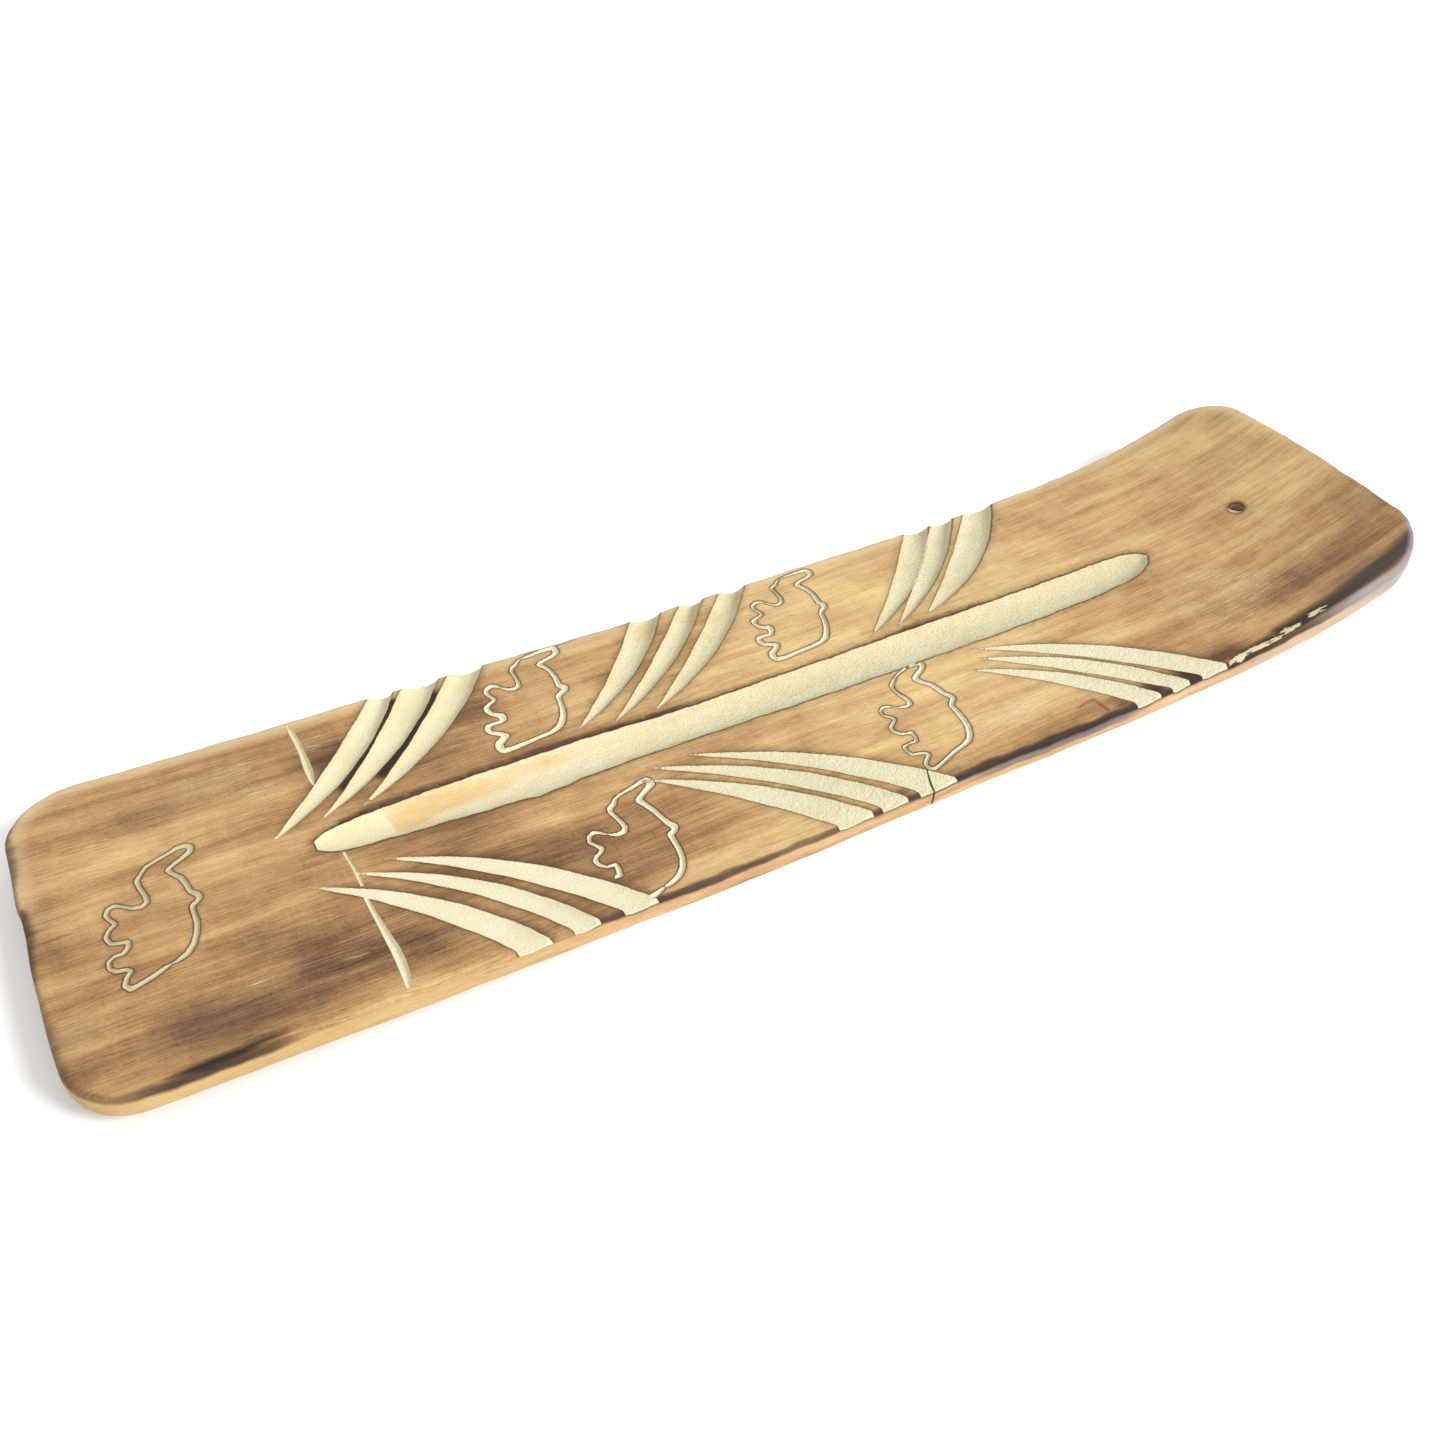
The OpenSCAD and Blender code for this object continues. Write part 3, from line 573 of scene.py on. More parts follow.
def uncrowded(points, gap, others):
    """The points that are further than gap from the others and from each other."""
    taken = {}

    def close(p):
        i, j = int(p[0] // gap), int(p[1] // gap)
        return any(
            (q[0] - p[0]) ** 2 + (q[1] - p[1]) ** 2 < gap * gap
            for a in (i - 1, i, i + 1)
            for b in (j - 1, j, j + 1)
            for q in taken.get((a, b), ())
        )

    def take(p):
        taken.setdefault((int(p[0] // gap), int(p[1] // gap)), []).append(p)

    for p in others.tolist():
        take(p)
    kept = []
    for p in points.tolist():
        if not close(p):
            take(p)
            kept.append(p)
    return np.array(kept)


loose = uncrowded(loose[np.hypot(*(loose - HOLE).T) > HOLE_RADIUS * 1.15], 0.11, fixed_points)
loose = np.vstack([loose, hole_mouth])


def triangulated(points, loops, lines=()):
    """Points and faces, anticlockwise, of a Delaunay mesh that keeps closed loops and open lines."""
    coords, edges = [Vector(p) for p in points.tolist()], []
    for line, closed in [(loop, True) for loop in loops] + [(line, False) for line in lines]:
        start, n = len(coords), len(line)
        coords += [Vector(p) for p in np.asarray(line).tolist()]
        edges += [(start + i, start + (i + 1) % n) for i in range(n if closed else n - 1)]
    found = geometry.delaunay_2d_cdt(coords, edges, [], 0, 1e-5)
    flat, faces = np.array([tuple(p) for p in found[0]]), np.array(found[2])
    a, b, c = (flat[faces[:, k]] for k in range(3))
    turned = (b[:, 0] - a[:, 0]) * (c[:, 1] - a[:, 1]) < (b[:, 1] - a[:, 1]) * (c[:, 0] - a[:, 0])
    faces[turned] = faces[turned][:, ::-1]
    return flat, faces


flat, faces = triangulated(loose, [outline, hole_rim], constraints)
centres = flat[faces].mean(1)
faces = faces[inside_outline(centres) & (np.hypot(*(centres - HOLE).T) > HOLE_RADIUS * 0.995)]
used, faces = np.unique(faces, return_inverse=True)
faces = faces.reshape(-1, 3)
flat = flat[used]


def boundary_loops(faces):
    """The rims of a mesh, each as a list of points in order."""
    sides = np.vstack([faces[:, [0, 1]], faces[:, [1, 2]], faces[:, [2, 0]]])
    both = {tuple(s) for s in sides.tolist()}
    after = {i: j for i, j in both if (j, i) not in both}
    loops = []
    while after:
        start = next(iter(after))
        loop, i = [start], after.pop(start)
        while i != start:
            loop.append(i)
            i = after.pop(i)
        loops.append(loop)
    return sorted(loops, key=len, reverse=True)


rims = boundary_loops(faces)
edge_loop, hole_loop = rims[0], rims[1]

depth = cut_depth(flat)
edge_apart = np.full(len(flat), FAR_OFF)
close_by = (np.abs(flat[:, 1]) > WIDTH / 2 - 6) | (np.abs(flat[:, 0]) > LENGTH / 2 - 16)
edge_apart[close_by] = distance_to(flat[close_by], outline_loop)[0]

# the worn edge is a quarter round, sharper in some places than in others
wear = 1 + wave(flat[:, 0] + flat[:, 1], (0.12, 37, 0), (0.1, 11, 2), (0.06, 4.3, 1))
e = np.clip(edge_apart / (EDGE_ROUND * wear), 0, 1)
edge_drop = EDGE_ROUND * wear * (1 - np.sqrt(np.clip(1 - (1 - e) ** 2, 0, 1)))
hole_drop = np.where(np.hypot(*(flat - HOLE).T) < HOLE_RADIUS * 1.06, HOLE_BEVEL, 0)
relief = wave(flat[:, 0], (0.05, 83, 1), (0.03, 29, 2)) + wave(flat[:, 1], (0.03, 19, 0.5))
drop = np.maximum(depth, edge_drop) + hole_drop - relief * smooth(0, 3, edge_apart)
top = np.column_stack([flat, THICKNESS + rise(flat[:, 0]) - drop])

# ---- the side faces and the underside --------------------------------------
loop_xy = flat[edge_loop]
loop_normals = -left_normals(loop_xy, closed=True)
for _ in range(6):
    loop_normals = (np.roll(loop_normals, 1, axis=0) + loop_normals + np.roll(loop_normals, -1, axis=0)) / 3
loop_normals /= np.hypot(*loop_normals.T)[:, None]
loop_top = top[edge_loop, 2]
loop_low = underside(loop_xy[:, 0])
along = np.r_[0, np.cumsum(np.hypot(*np.diff(loop_xy, axis=0).T))]

rows = []
for share in (0.12, 0.3, 0.5, 0.7, 0.86, 1.0):
    out = math.sin(math.pi * share) * (0.12 + 0.03 * np.sin(along * 0.9 + share * 7))
    z = loop_top + (loop_low + LOWER_ROUND - loop_top) * share
    rows.append(np.column_stack([loop_xy + out[:, None] * loop_normals, z]))
for turn in (30, 60, 90):
    a = math.radians(turn)
    inset = LOWER_ROUND * (1 - math.cos(a))
    xy = loop_xy - inset * loop_normals
    rows.append(np.column_stack([xy, underside(xy[:, 0]) + LOWER_ROUND * (1 - math.sin(a))]))

under_rim = rows[-1][:, :2]
hole_shift = (THICKNESS * math.sin(math.atan(slope(HOLE[:1])[0])), 0)
hole_under = flat[hole_loop] + hole_shift
field = grid(-127, 127, -32, 32, 2.6, 2.4, 0.12)
field = field[inside_outline(field, 2.2)]
field = field[np.hypot(*(field - HOLE - hole_shift).T) > HOLE_RADIUS + 1]
under, under_faces = triangulated(field, [under_rim, hole_under])
middles = under[under_faces].mean(1)
clear_of_hole = np.hypot(*(middles - HOLE - hole_shift).T) > HOLE_RADIUS * 0.995
under_faces = under_faces[inside_loop(middles, under_rim) & clear_of_hole]

# ---- one mesh --------------------------------------------------------------
n_top, n_loop, n_field, n_hole = len(top), len(edge_loop), len(field), len(hole_loop)
under_z = underside(under[:, 0])
# a splinter of wood is left in the mouth of the hole, on its near left
mouth, foot = top[hole_loop], np.column_stack([under, under_z])[-len(hole_loop) :]
around = np.arctan2(mouth[:, 1] - HOLE[1], mouth[:, 0] - HOLE[0]) - math.radians(-150)
ledge = np.clip(np.cos(around), 0, 1)[:, None] ** 0.8
LIPS = ((0.07, 0.68), (0.3, 0.1))  # share of the way down, reach towards the middle
lips = []
for share, reach in LIPS:
    ring = mouth + (foot - mouth) * share
    middle = ring.mean(0)
    lips.append(ring + (middle - ring) * ledge * reach)
points = np.vstack([top, *rows, np.column_stack([under, under_z]), *lips])
under_start = n_top + n_loop * len(rows)
rim_start = under_start + n_field
hole_start = rim_start + n_loop


def strip(upper, lower):
    """Quads between two closed rows of points, facing away from the board."""
    upper, lower = np.asarray(upper), np.asarray(lower)
    return np.column_stack([upper, lower, np.roll(lower, -1), np.roll(upper, -1)])


levels = [np.array(edge_loop)] + [n_top + n_loop * k + np.arange(n_loop) for k in range(len(rows))]
side_quads = np.vstack([strip(levels[k], levels[k + 1]) for k in range(len(rows))])
lip_start = hole_start + n_hole
hole_levels = [np.array(hole_loop), *(lip_start + k * n_hole + np.arange(n_hole) for k in range(len(LIPS)))]
hole_levels.append(hole_start + np.arange(n_hole))
hole_quads = np.vstack([strip(upper, lower) for upper, lower in zip(hole_levels, hole_levels[1:])])
# the underside's rim is the last row of the side faces
joined = np.arange(len(under)) + under_start
joined[n_field : n_field + n_loop] = levels[-1]
under_tris = joined[under_faces][:, ::-1]

polygons = faces.tolist() + side_quads.tolist() + hole_quads.tolist() + under_tris.tolist()
mesh = bpy.data.meshes.new("carved_board")
mesh.from_pydata((points * MM).tolist(), [], polygons)
mesh.validate()
board = bpy.data.objects.new("carved_board", mesh)
bpy.context.scene.collection.objects.link(board)

# ---- marks left by burning, painting and use, laid on the flat drawing -----
# Each soft patch: x, y, half length, half width, strength.
PALE_AND_BROWN = [
    (22, 8, 62, 40, 0.26), (30, -10, 36, 16, 0.06), (-20, -29, 20, 5, 0.2), (90, 14, 60, 26, 0.06),
    (112, -20, 26, 9, -0.15), (84, -24, 16, 5, -0.06), (-97, -23, 34, 8, -0.26), (-119, -23, 9, 4, 0.08),
    (44, 7, 16, 1.6, -0.14), (76, 26, 16, 3, -0.1), (-84, -14, 34, 4, -0.1), (-62, -12, 16, 7, -0.16),
    (-50, -22, 20, 10, -0.22), (-36, -14, 16, 9, -0.1), (-66, 13, 16, 8, -0.12), (-78, 19, 9, 9, -0.2),
    (-52, 22, 6, 8, -0.22), (-18, 21, 12, 6, -0.18), (-116, 10, 24, 2.2, 0.16),
    (-117, -8.8, 20, 1.9, 0.16), (-100, 18, 30, 3, -0.06), (-40, 7, 34, 2.6, -0.16),
    (-66, -6, 14, 3, -0.16), (-54, -8.6, 10, 1.6, 0.14), (-106, 24, 30, 4, -0.03), (28, 7, 12, 2, -0.16),
    (-43, -26, 8, 4, -0.1), (-26, -25, 8, 4, -0.08), (-38, -9, 14, 3, 0.2), (-52, -12, 14, 4, 0.16),
    (-22, -12, 8, 4, 0.14), (-97, -12, 14, 3, -0.14), (74, -28, 12, 3, -0.2), (-30, -28, 16, 1.4, 0.1),
    (66, -6, 22, 2.4, -0.08), (104, -6, 22, 2.6, -0.08), (100, 7, 14, 2, -0.06), (98, 26, 30, 4, 0.1),
    (90, 18.6, 20, 0.9, -0.1), (104, -8, 26, 3, 0.06), (-34, 10, 12, 4, 0.14), (-88, -21, 10, 4, -0.16),
    (-78, -24, 10, 4, -0.1), (-76, 16, 6, 8, -0.16), (-112, 18, 16, 3, -0.14), (-118, -12, 10, 5, -0.12),
    (-112, -9, 8, 3, -0.14), (4, -6, 26, 2.4, -0.16), (118, 5, 14, 9, 0.14), (110, 10, 20, 2, 0.1),
    (-4, 21, 8, 6, -0.05), (105, 10, 3, 1, -0.1), (-124, 2, 3, 10, -0.08), (122, 10, 6, 18, 0.04),
]  # fmt: skip
BURNT = [
    (-108, -31.1, 9, 1.1, 1), (-102, -30.4, 6, 0.9, 0.8), (-112, -29.6, 17, 2.2, 0.3),
    (-100, -27, 18, 2, 0.22), (-106, -24.5, 16, 2.6, 0.2), (-64, -4.0, 17, 1.8, 0.5),
    (-44, -3.9, 12, 0.9, 0.2), (112, -27.6, 17, 3, 0.4), (116, -21, 12, 5, 0.2),
    (126.6, -12, 1.2, 12, 0.25), (127, 4, 0.8, 30, 0.35), (-127, 10, 1.1, 16, 0.5),
    (-125, -26, 4, 5, 0.25), (-77, 17.4, 5, 4, 0.25), (-52, 20.5, 5, 5, 0.2), (-127.4, 4, 1.2, 3.4, 0.9),
    (57.8, -30.8, 3, 4, 0.85), (66, -30, 3.4, 5, 0.9), (50, -31, 3, 3, 0.6), (75, -29.5, 7, 2, 0.6),
    (-6, -31, 3.4, 1.6, 0.5), (3, -30.6, 2, 2, 0.5), (14, -31, 3, 2, 0.4), (-51, -31, 3, 1.6, 0.4),
    (-24, 18, 8, 4, 0.2), (-14, 22, 8, 5, 0.2), (-58, -9, 8, 4, 0.2), (-62, -14, 10, 3, 0.2),
]  # fmt: skip
# Burnt lines: their points, half width and strength.
BURNT_LINES = [
    ([(-77, 12), (-75.2, 13.7), (-70, 19.4), (-66, 24.2), (-63.4, 28.4)], 1.1, 0.9),
    ([(-70.6, 12.3), (-69, 13.7), (-65, 17.1), (-60, 22), (-56.5, 27)], 1.3, 0.95),
    ([(-80, 4.2), (-76, 4.8), (-72, 5.2), (-64, 5.5), (-56, 5.8)], 0.8, 0.75),
    ([(-76, 5.0), (-72, 5.3), (-66, 5.6)], 1, 0.6),
    ([(-58, 5.7), (-40, 6.0), (-30, 5.6), (-20, 5.2)], 0.8, 0.75),
    ([(-22, 5.1), (-8, 4.7)], 0.6, 0.55),
    ([(-10, 4.6), (22, 4.6)], 0.5, 0.35),
    ([(22, 4.6), (30, 4.6)], 0.6, 0.55),
    ([(28, 4.7), (46, 4.6)], 0.8, 0.75),
    ([(46, 4.6), (62, 4.4)], 0.5, 0.4),
    ([(76, -31.4), (88, -30.7)], 1.1, 0.95),
    ([(88, -30.5), (101, -29.7), (109, -29.1)], 1.7, 0.95),
    ([(105, -29.3), (116, -28.5), (125, -27.2)], 1.8, 0.95),
]  # fmt: skip
GREYED = [
    (114, -28.6, 18, 3.4, 0.7), (123, -16, 5, 8, 0.6), (-124, -19, 4, 3.4, 0.55),
    (-103, -25, 14, 4, 0.35), (112, -20, 16, 7, 0.2), (-60, 12, 8, 5, 0.2), (122, -28, 6, 4, 0.8),
    (-100, 21, 24, 6, 0.2),
]  # fmt: skip
FLECKED = [
    (-93, 23, 9, 2.6, 0.8), (-80, 23.5, 5, 3.5, 0.85), (-91, 17, 9, 2.6, 0.7), (-90, -13.6, 6, 0.9, 0.9),
    (-86, -19.5, 1.2, 0.8, 0.8), (-84, -22, 4, 1.2, 0.7), (-44.5, -3.9, 4, 0.8, 0.9),
    (31, -23.5, 9, 3.4, 0.85), (32, -7.4, 6, 1.2, 0.5), (88, -18, 16, 9, 0.66), (95, -18, 6, 3.4, 0.8),
    (90, 5.6, 8, 0.8, 0.7), (78, -14, 8, 5, 0.5), (96, -11.4, 5, 0.8, 0.6), (-112, 16, 12, 4, 0.35),
    (108, -17, 8, 3, 0.5), (-103, -21, 10, 3, 0.3), (6, -7, 12, 2.4, 0.3), (-36, 16, 8, 6, 0.3),
]  # fmt: skip
# The burnt bands along the edges: place along the edge, reach in from it, strength.
NEAR_EDGE = [
    (-128, 0.4, 0.4), (-121, 0.4, 0.5), (-116, 0.4, 0.8), (-106, 0.5, 0.85), (-100, 0.35, 0.6),
    (-95, 0.2, 0.1), (-56, 0.2, 0), (-53, 0.35, 0.75), (-40, 0.4, 0.85), (-30, 0.3, 0.75),
    (-20, 0.25, 0.7), (-8, 0.3, 0.75), (5, 0.4, 0.8), (14, 0.5, 0.9), (24, 0.55, 1), (36, 0.5, 1),
    (50, 0.5, 0.95), (64, 0.55, 0.95), (76, 0.5, 0.95), (90, 0.5, 0.8), (104, 0.5, 0.6), (116, 0.4, 0.5),
    (124, 0.4, 0.5), (128, 0.4, 0.4),
]  # fmt: skip
FAR_EDGE = [
    (-128, 0.3, 0.2), (-90, 0.2, 0), (-45, 0.3, 0.1), (-38, 0.6, 0.45), (-18, 0.6, 0.45), (-10, 0.3, 0.2),
    (10, 0.3, 0.3), (45, 0.4, 0.3), (80, 0.3, 0.25), (100, 0.3, 0.35), (125, 0.4, 0.4),
]  # fmt: skip
HEEL_EDGE = [
    (-32, 0.6, 0.4), (-24, 1.2, 0.5), (-10, 0.5, 0.4), (-1, 0.8, 0.7), (6, 0.9, 0.8), (8, 0.4, 0.4),
    (16, 0.9, 0.65), (24, 0.8, 0.65), (30, 0.3, 0.3),
]  # fmt: skip
TOE_EDGE = [
    (-32, 0.8, 0.4), (-20, 0.8, 0.45), (-10, 0.5, 0.4), (0, 0.4, 0.4), (12, 0.3, 0.35), (31, 0.2, 0.3),
]  # fmt: skip
# Where the scorched edge has flaked off to pale wood.
FLAKED = [
    (82, -31.0, 9, 0.6, 1), (90, -30.6, 4, 0.8, 1), (97, -30.1, 3.4, 0.8, 1), (77, -31.3, 4, 0.5, 1),
]  # fmt: skip
# Bare wood in the groove, where the paint has gone.
BARE = [
    (-14, 28, 5, 5, 0.55), (-3.5, 27, 5, 6, 0.6), (5.5, 27, 5, 6, 0.5), (49, 29, 4, 4, 0.35),
    (56, 29, 4, 4, 0.35), (-64, 3.0, 15, 3, 1), (-48, 4, 13, 1.7, 0.7), (-70, 1.4, 6, 3.4, 1),
    (-26, 3.8, 22, 1.0, 0.4),
]  # fmt: skip
# A knife mark: corners of a bent stroke, in dark brown.
MARK = [(42.4, -27.5), (44.8, -27.1), (46.3, -27.2), (46.4, -28.6), (46.6, -30.6)]


def patches(points, table, add=False):
    """The strength at each point of a table's soft patches: the strongest, or their sum."""
    value = np.zeros(len(points))
    for x, y, half_x, half_y, strength in table:
        r = np.hypot((points[:, 0] - x) / half_x, (points[:, 1] - y) / half_y)
        here = strength * smooth(1.3, 0.2, r)
        value = value + here if add else np.maximum(value, here)
    return value


def groove_rims(points):
    """Signed distance to the groove's rim, inside positive."""
    x = np.linspace(groove_x[0], groove_x[-1], 420)
    near, far = groove_sides(x)
    loop = np.vstack([np.stack([x, near], 1), np.stack([x, far], 1)[::-1], [(x[0], near[0])]])
    close = np.flatnonzero(near_box(points, loop, 5))
    rim = np.full(len(points), -FAR_OFF)
    rim[close] = -distance_to(points[close], loop)[0]
    low, high = groove_sides(points[:, 0])
    inside = (points[:, 1] > low) & (points[:, 1] < high) & near_box(points, loop, 0)
    return np.where(inside, -rim, rim)


def line_rims(points):
    """Signed distance to the rims of the elephants' lines, inside positive."""
    rim = np.full(len(points), -FAR_OFF)
    for line, half, _ in elephant_lines:
        near = np.flatnonzero(near_box(points, line, 4))
        rim[near] = np.maximum(rim[near], to_line(points[near], line, half)[0])
    return rim


def scored_rims(points, lines):
    """Signed distance to the rims of lines scored across the board."""
    x, y = points.T
    rim = np.full(len(points), -FAR_OFF)
    for line in lines:
        sx, sy, sw = np.array(sorted(line, key=lambda p: p[1])).T
        past = np.maximum(np.maximum(sy[0] - y, y - sy[-1]), 0)
        rim = np.maximum(rim, np.interp(y, sy, sw) - np.abs(x - np.interp(y, sy, sx)) - past)
    return rim


# every point of the mesh on the flat drawing: the side faces and the underside keep the rim's place
place_xy = points[:, :2]
below = np.zeros(len(points))
for k in range(len(rows)):
    below[levels[k + 1]] = loop_top - rows[k][:, 2]
below[under_start:] = THICKNESS
below[lip_start:] = np.repeat([share * THICKNESS for share, _ in LIPS], n_hole)
edge = np.full(len(points), FAR_OFF)
edge[:n_top] = edge_apart
edge[n_top:] = -below[n_top:]

stroke_rim, stroke_side, stroke_along = stroke_rims(place_xy)
groove_rim = groove_rims(place_xy)
drawn_rim = line_rims(place_xy)
scored_rim = scored_rims(place_xy, SCORED)
crack_rim = scored_rims(place_xy, (CRACK,))
drawn_rim = np.where((stroke_rim > 0) | (groove_rim > 0), -FAR_OFF, drawn_rim)

px, py = place_xy.T
on_side = edge < 0
burnt = patches(place_xy, BURNT)
for line, half, strength in BURNT_LINES:
    away = distance_to(place_xy, np.array(line, float))[0] / half
    burnt = np.maximum(burnt, strength * smooth(1.8, 0.2, away))
burnt[on_side] *= smooth(-1.1, -0.1, edge[on_side])
bands = ((NEAR_EDGE, px, py + WIDTH / 2), (FAR_EDGE, px, WIDTH / 2 - py))
bands += ((HEEL_EDGE, py, px + LENGTH / 2), (TOE_EDGE, py, LENGTH / 2 - px))
band_reach, band_strength, weights = np.zeros(len(points)), np.zeros(len(points)), np.zeros(len(points))
for table, place, inward in bands:
    at, reach, strength = np.array(table).T
    weight = 1 / (np.maximum(inward, 0) + 1) ** 3
    ripple = 1 + wave(place, (0.2, 16.7, 1), (0.12, 6.3, 0))
    band_reach += weight * np.interp(place, at, reach) * ripple
    band_strength += weight * np.interp(place, at, strength)
    weights += weight
lightness = patches(place_xy, PALE_AND_BROWN, add=True)
mark = smooth(0.55, 0.1, distance_to(place_xy, np.array(MARK))[0])

# how dark the rims of the strokes are: a thin burnt line, and a soft brown beside it, stronger on the toe
# sides partly as painted shade
line_by_side = {1: 0.55, 2: 0.95, -1: 0.8, -2: 0.5}
halo_by_side = {1: 0.6, 2: 0.7, -1: 0.4, -2: 0.95}
line_strength = sum(v * (stroke_side == s) for s, v in line_by_side.items())
halo_strength = sum(v * (stroke_side == s) for s, v in halo_by_side.items())
fading = np.interp(px, (-95, -50, -10, 20, 50, 75), (1, 1, 0.75, 0.55, 0.65, 0.9))
past_tip = smooth(0, 0.14, stroke_along)
line_strength = line_strength * (0.5 + 0.5 * fading) * past_tip
halo_strength = halo_strength * fading * past_tip
# the paint stops short of the toe side of the far strokes, leaving a dark strip that is partly painted
# shade on that wall
stroke_rim = stroke_rim - 0.22 * fading**2 * past_tip * (stroke_side == 2)
# the paint that is left at the groove's heel end stops along a curved line
left_paint = smooth(-73.3, -72.3, px + 0.12 * np.maximum(py - 0.6, 0) ** 1.6)
bare_and_lit = patches(place_xy, BARE) * np.where(np.abs(py) < 7, left_paint, 1)
# the far strokes' heel-side walls take a warm bare-wood colour: partly bare wood, partly painted light on
# the walls that face the light
lit_heel_wall = (stroke_side == 1) * (stroke_rim > -0.05) * smooth(1.3, 0.2, stroke_rim)
bare_and_lit = np.maximum(bare_and_lit, 0.5 * lit_heel_wall * past_tip)

ATTRIBUTES = {
    "plan": (px, py, -below),
    "rims": (stroke_rim, groove_rim, drawn_rim),
    "edges": (edge, scored_rim, crack_rim),
    "look": (lightness, burnt, patches(place_xy, GREYED)),
    "wear": (patches(place_xy, FLECKED), patches(place_xy, FLAKED), mark),
    "sides": (line_strength, halo_strength, bare_and_lit),
    "bands": (band_reach / weights, band_strength / weights, np.zeros(len(points))),
}
for name, columns in ATTRIBUTES.items():
    layer = mesh.attributes.new(name, "FLOAT_VECTOR", "POINT")
    layer.data.foreach_set("vector", np.column_stack(columns).astype(np.float32).ravel())

# ---- texture layout --------------------------------------------------------
# The top face in two halves, the underside below them, the side faces in four
# strips and the hole's wall beside them. Places are in the texture's squares.
TEXTURE = 1024
TOP_SCALE, UNDER_SCALE_X, UNDER_SCALE_Y = 6.3, 3.18, 2.7  # squares to a millimetre
HEEL_HALF_AT, TOE_HALF_AT, UNDER_AT = 8, 424, 840
STRIP_AT, STRIP_GAP, WALL_AT = 834, 48, 1017.5
STRIP_ROW, WALL_ROW, WALL_COLUMN = 4.2, 1.7, 3  # one quad's share of a strip or of the wall
STRIP_START, STRIP_LENGTH = 10, TEXTURE - 20
half_length, half_width = LENGTH / 2 + 1, WIDTH / 2 + 0.45
corner_points = np.zeros(len(mesh.loops), np.int32)
mesh.loops.foreach_get("vertex_index", corner_points)
counts = np.array([len(p) for p in polygons])
corner_face = np.repeat(np.arange(len(polygons)), counts)
face_x = np.add.reduceat(points[corner_points, 0], np.r_[0, np.cumsum(counts)[:-1]]) / counts
n_side, n_wall = len(side_quads), len(hole_quads)
kind = np.repeat([0, 1, 2, 3], [len(faces), n_side, n_wall, len(under_tris)])[corner_face]
cx, cy = points[corner_points, :2].T
fx = face_x[corner_face]
u = np.where(fx < 0, half_length + cx, cx + 1) * TOP_SCALE + HEEL_HALF_AT
v = (cy + half_width) * TOP_SCALE + np.where(fx < 0, HEEL_HALF_AT, TOE_HALF_AT)
u = np.where(kind == 3, (cx + half_length) * UNDER_SCALE_X + HEEL_HALF_AT, u)
v = np.where(kind == 3, (cy + half_width) * UNDER_SCALE_Y + UNDER_AT, v)
# side faces: along the rim and down
quad = np.arange(n_side)
column = np.repeat(quad % n_loop, 4)
ahead = np.tile([0, 0, 1, 1], n_side)
down = np.repeat(quad // n_loop, 4) + np.tile([0, 1, 1, 0], n_side)
quarter = n_loop // 4 + 1
side_at = kind == 1
u[side_at] = STRIP_AT + STRIP_GAP * (column // quarter) + down * STRIP_ROW
v[side_at] = STRIP_START + (column % quarter + ahead) * STRIP_LENGTH / quarter
wall = np.arange(n_wall)
wall_at = kind == 2
u[wall_at] = WALL_AT + (np.repeat(wall // n_hole, 4) + np.tile([0, 1, 1, 0], n_wall)) * WALL_ROW
v[wall_at] = STRIP_START + (
    np.repeat(wall % n_hole, 4) + np.tile([0, 0, 1, 1], n_wall)
) * WALL_COLUMN
layout = mesh.uv_layers.new(name="OFBake")
layout.data.foreach_set("uv", (np.column_stack([u, v]) / TEXTURE).astype(np.float32).ravel())

for p in mesh.polygons:
    p.use_smooth = True
mesh.set_sharp_from_angle(angle=math.radians(48))


# ---- the wood and its paint ------------------------------------------------
wood = bpy.data.materials.new("flamed_wood")
wood.use_nodes = True
tree = wood.node_tree
tree.nodes.clear()


def put(socket, value):
    """Gives a socket a value or a link."""
    if isinstance(value, bpy.types.NodeSocket):
        tree.links.new(value, socket)
    elif socket.type == "RGBA" and len(value) == 3:
        socket.default_value = (*value, 1)
    else:
        socket.default_value = value


def new(kind, inputs=(), **settings):
    """A shader node with its inputs given or linked."""
    node = tree.nodes.new(kind)
    for name, value in settings.items():
        setattr(node, name, value)
    for name, value in dict(inputs).items():
        put(node.inputs[name], value)
    return node


def calc(operation, a, b=0.0, c=0.0):
    """The result of a sum done by a shader node."""
    return new("ShaderNodeMath", {0: a, 1: b, 2: c}, operation=operation).outputs[0]


def centred(value, amount):
    """A value from 0 to 1 made to run from -amount / 2 to amount / 2."""
    return calc("MULTIPLY_ADD", value, amount, -amount / 2)


def total(first, *others):
    for other in others:
        first = calc("ADD", first, other)
    return first


def times(first, *others):
    for other in others:
        first = calc("MULTIPLY", first, other)
    return first


def step(value, low, high, out_low=0.0, out_high=1.0):
    """A smooth step from low to high."""
    inputs = {"Value": value, "From Min": low, "From Max": high, "To Min": out_low, "To Max": out_high}
    return new("ShaderNodeMapRange", inputs, interpolation_type="SMOOTHSTEP").outputs[0]


def attribute(name):
    """The three parts of one of the mesh's attributes, and the whole."""
    vector = new("ShaderNodeAttribute", attribute_name=name).outputs["Vector"]
    parts = new("ShaderNodeSeparateXYZ", {0: vector}).outputs
    return (*parts, vector)


def noise(vector, size, detail=3.0, roughness=0.55):
    """Noise from 0 to 1 whose lumps are about size across, given for x, y and z."""
    scaled = new("ShaderNodeVectorMath", {0: vector, 1: tuple(1 / s for s in size)}, operation="MULTIPLY")
    inputs = {"Vector": scaled.outputs[0], "Scale": 1.0, "Detail": detail, "Roughness": roughness}
    return new("ShaderNodeTexNoise", inputs).outputs["Fac"]


EXPOSED = 1.5  # how much the studio's light brightens a colour


def shade(red, green, blue):
    """A colour as seen under the studio's light, from 0 to 255, as the surface's own."""
    return tuple((((c / 255 + 0.055) / 1.055) ** 2.4) / EXPOSED for c in (red, green, blue))


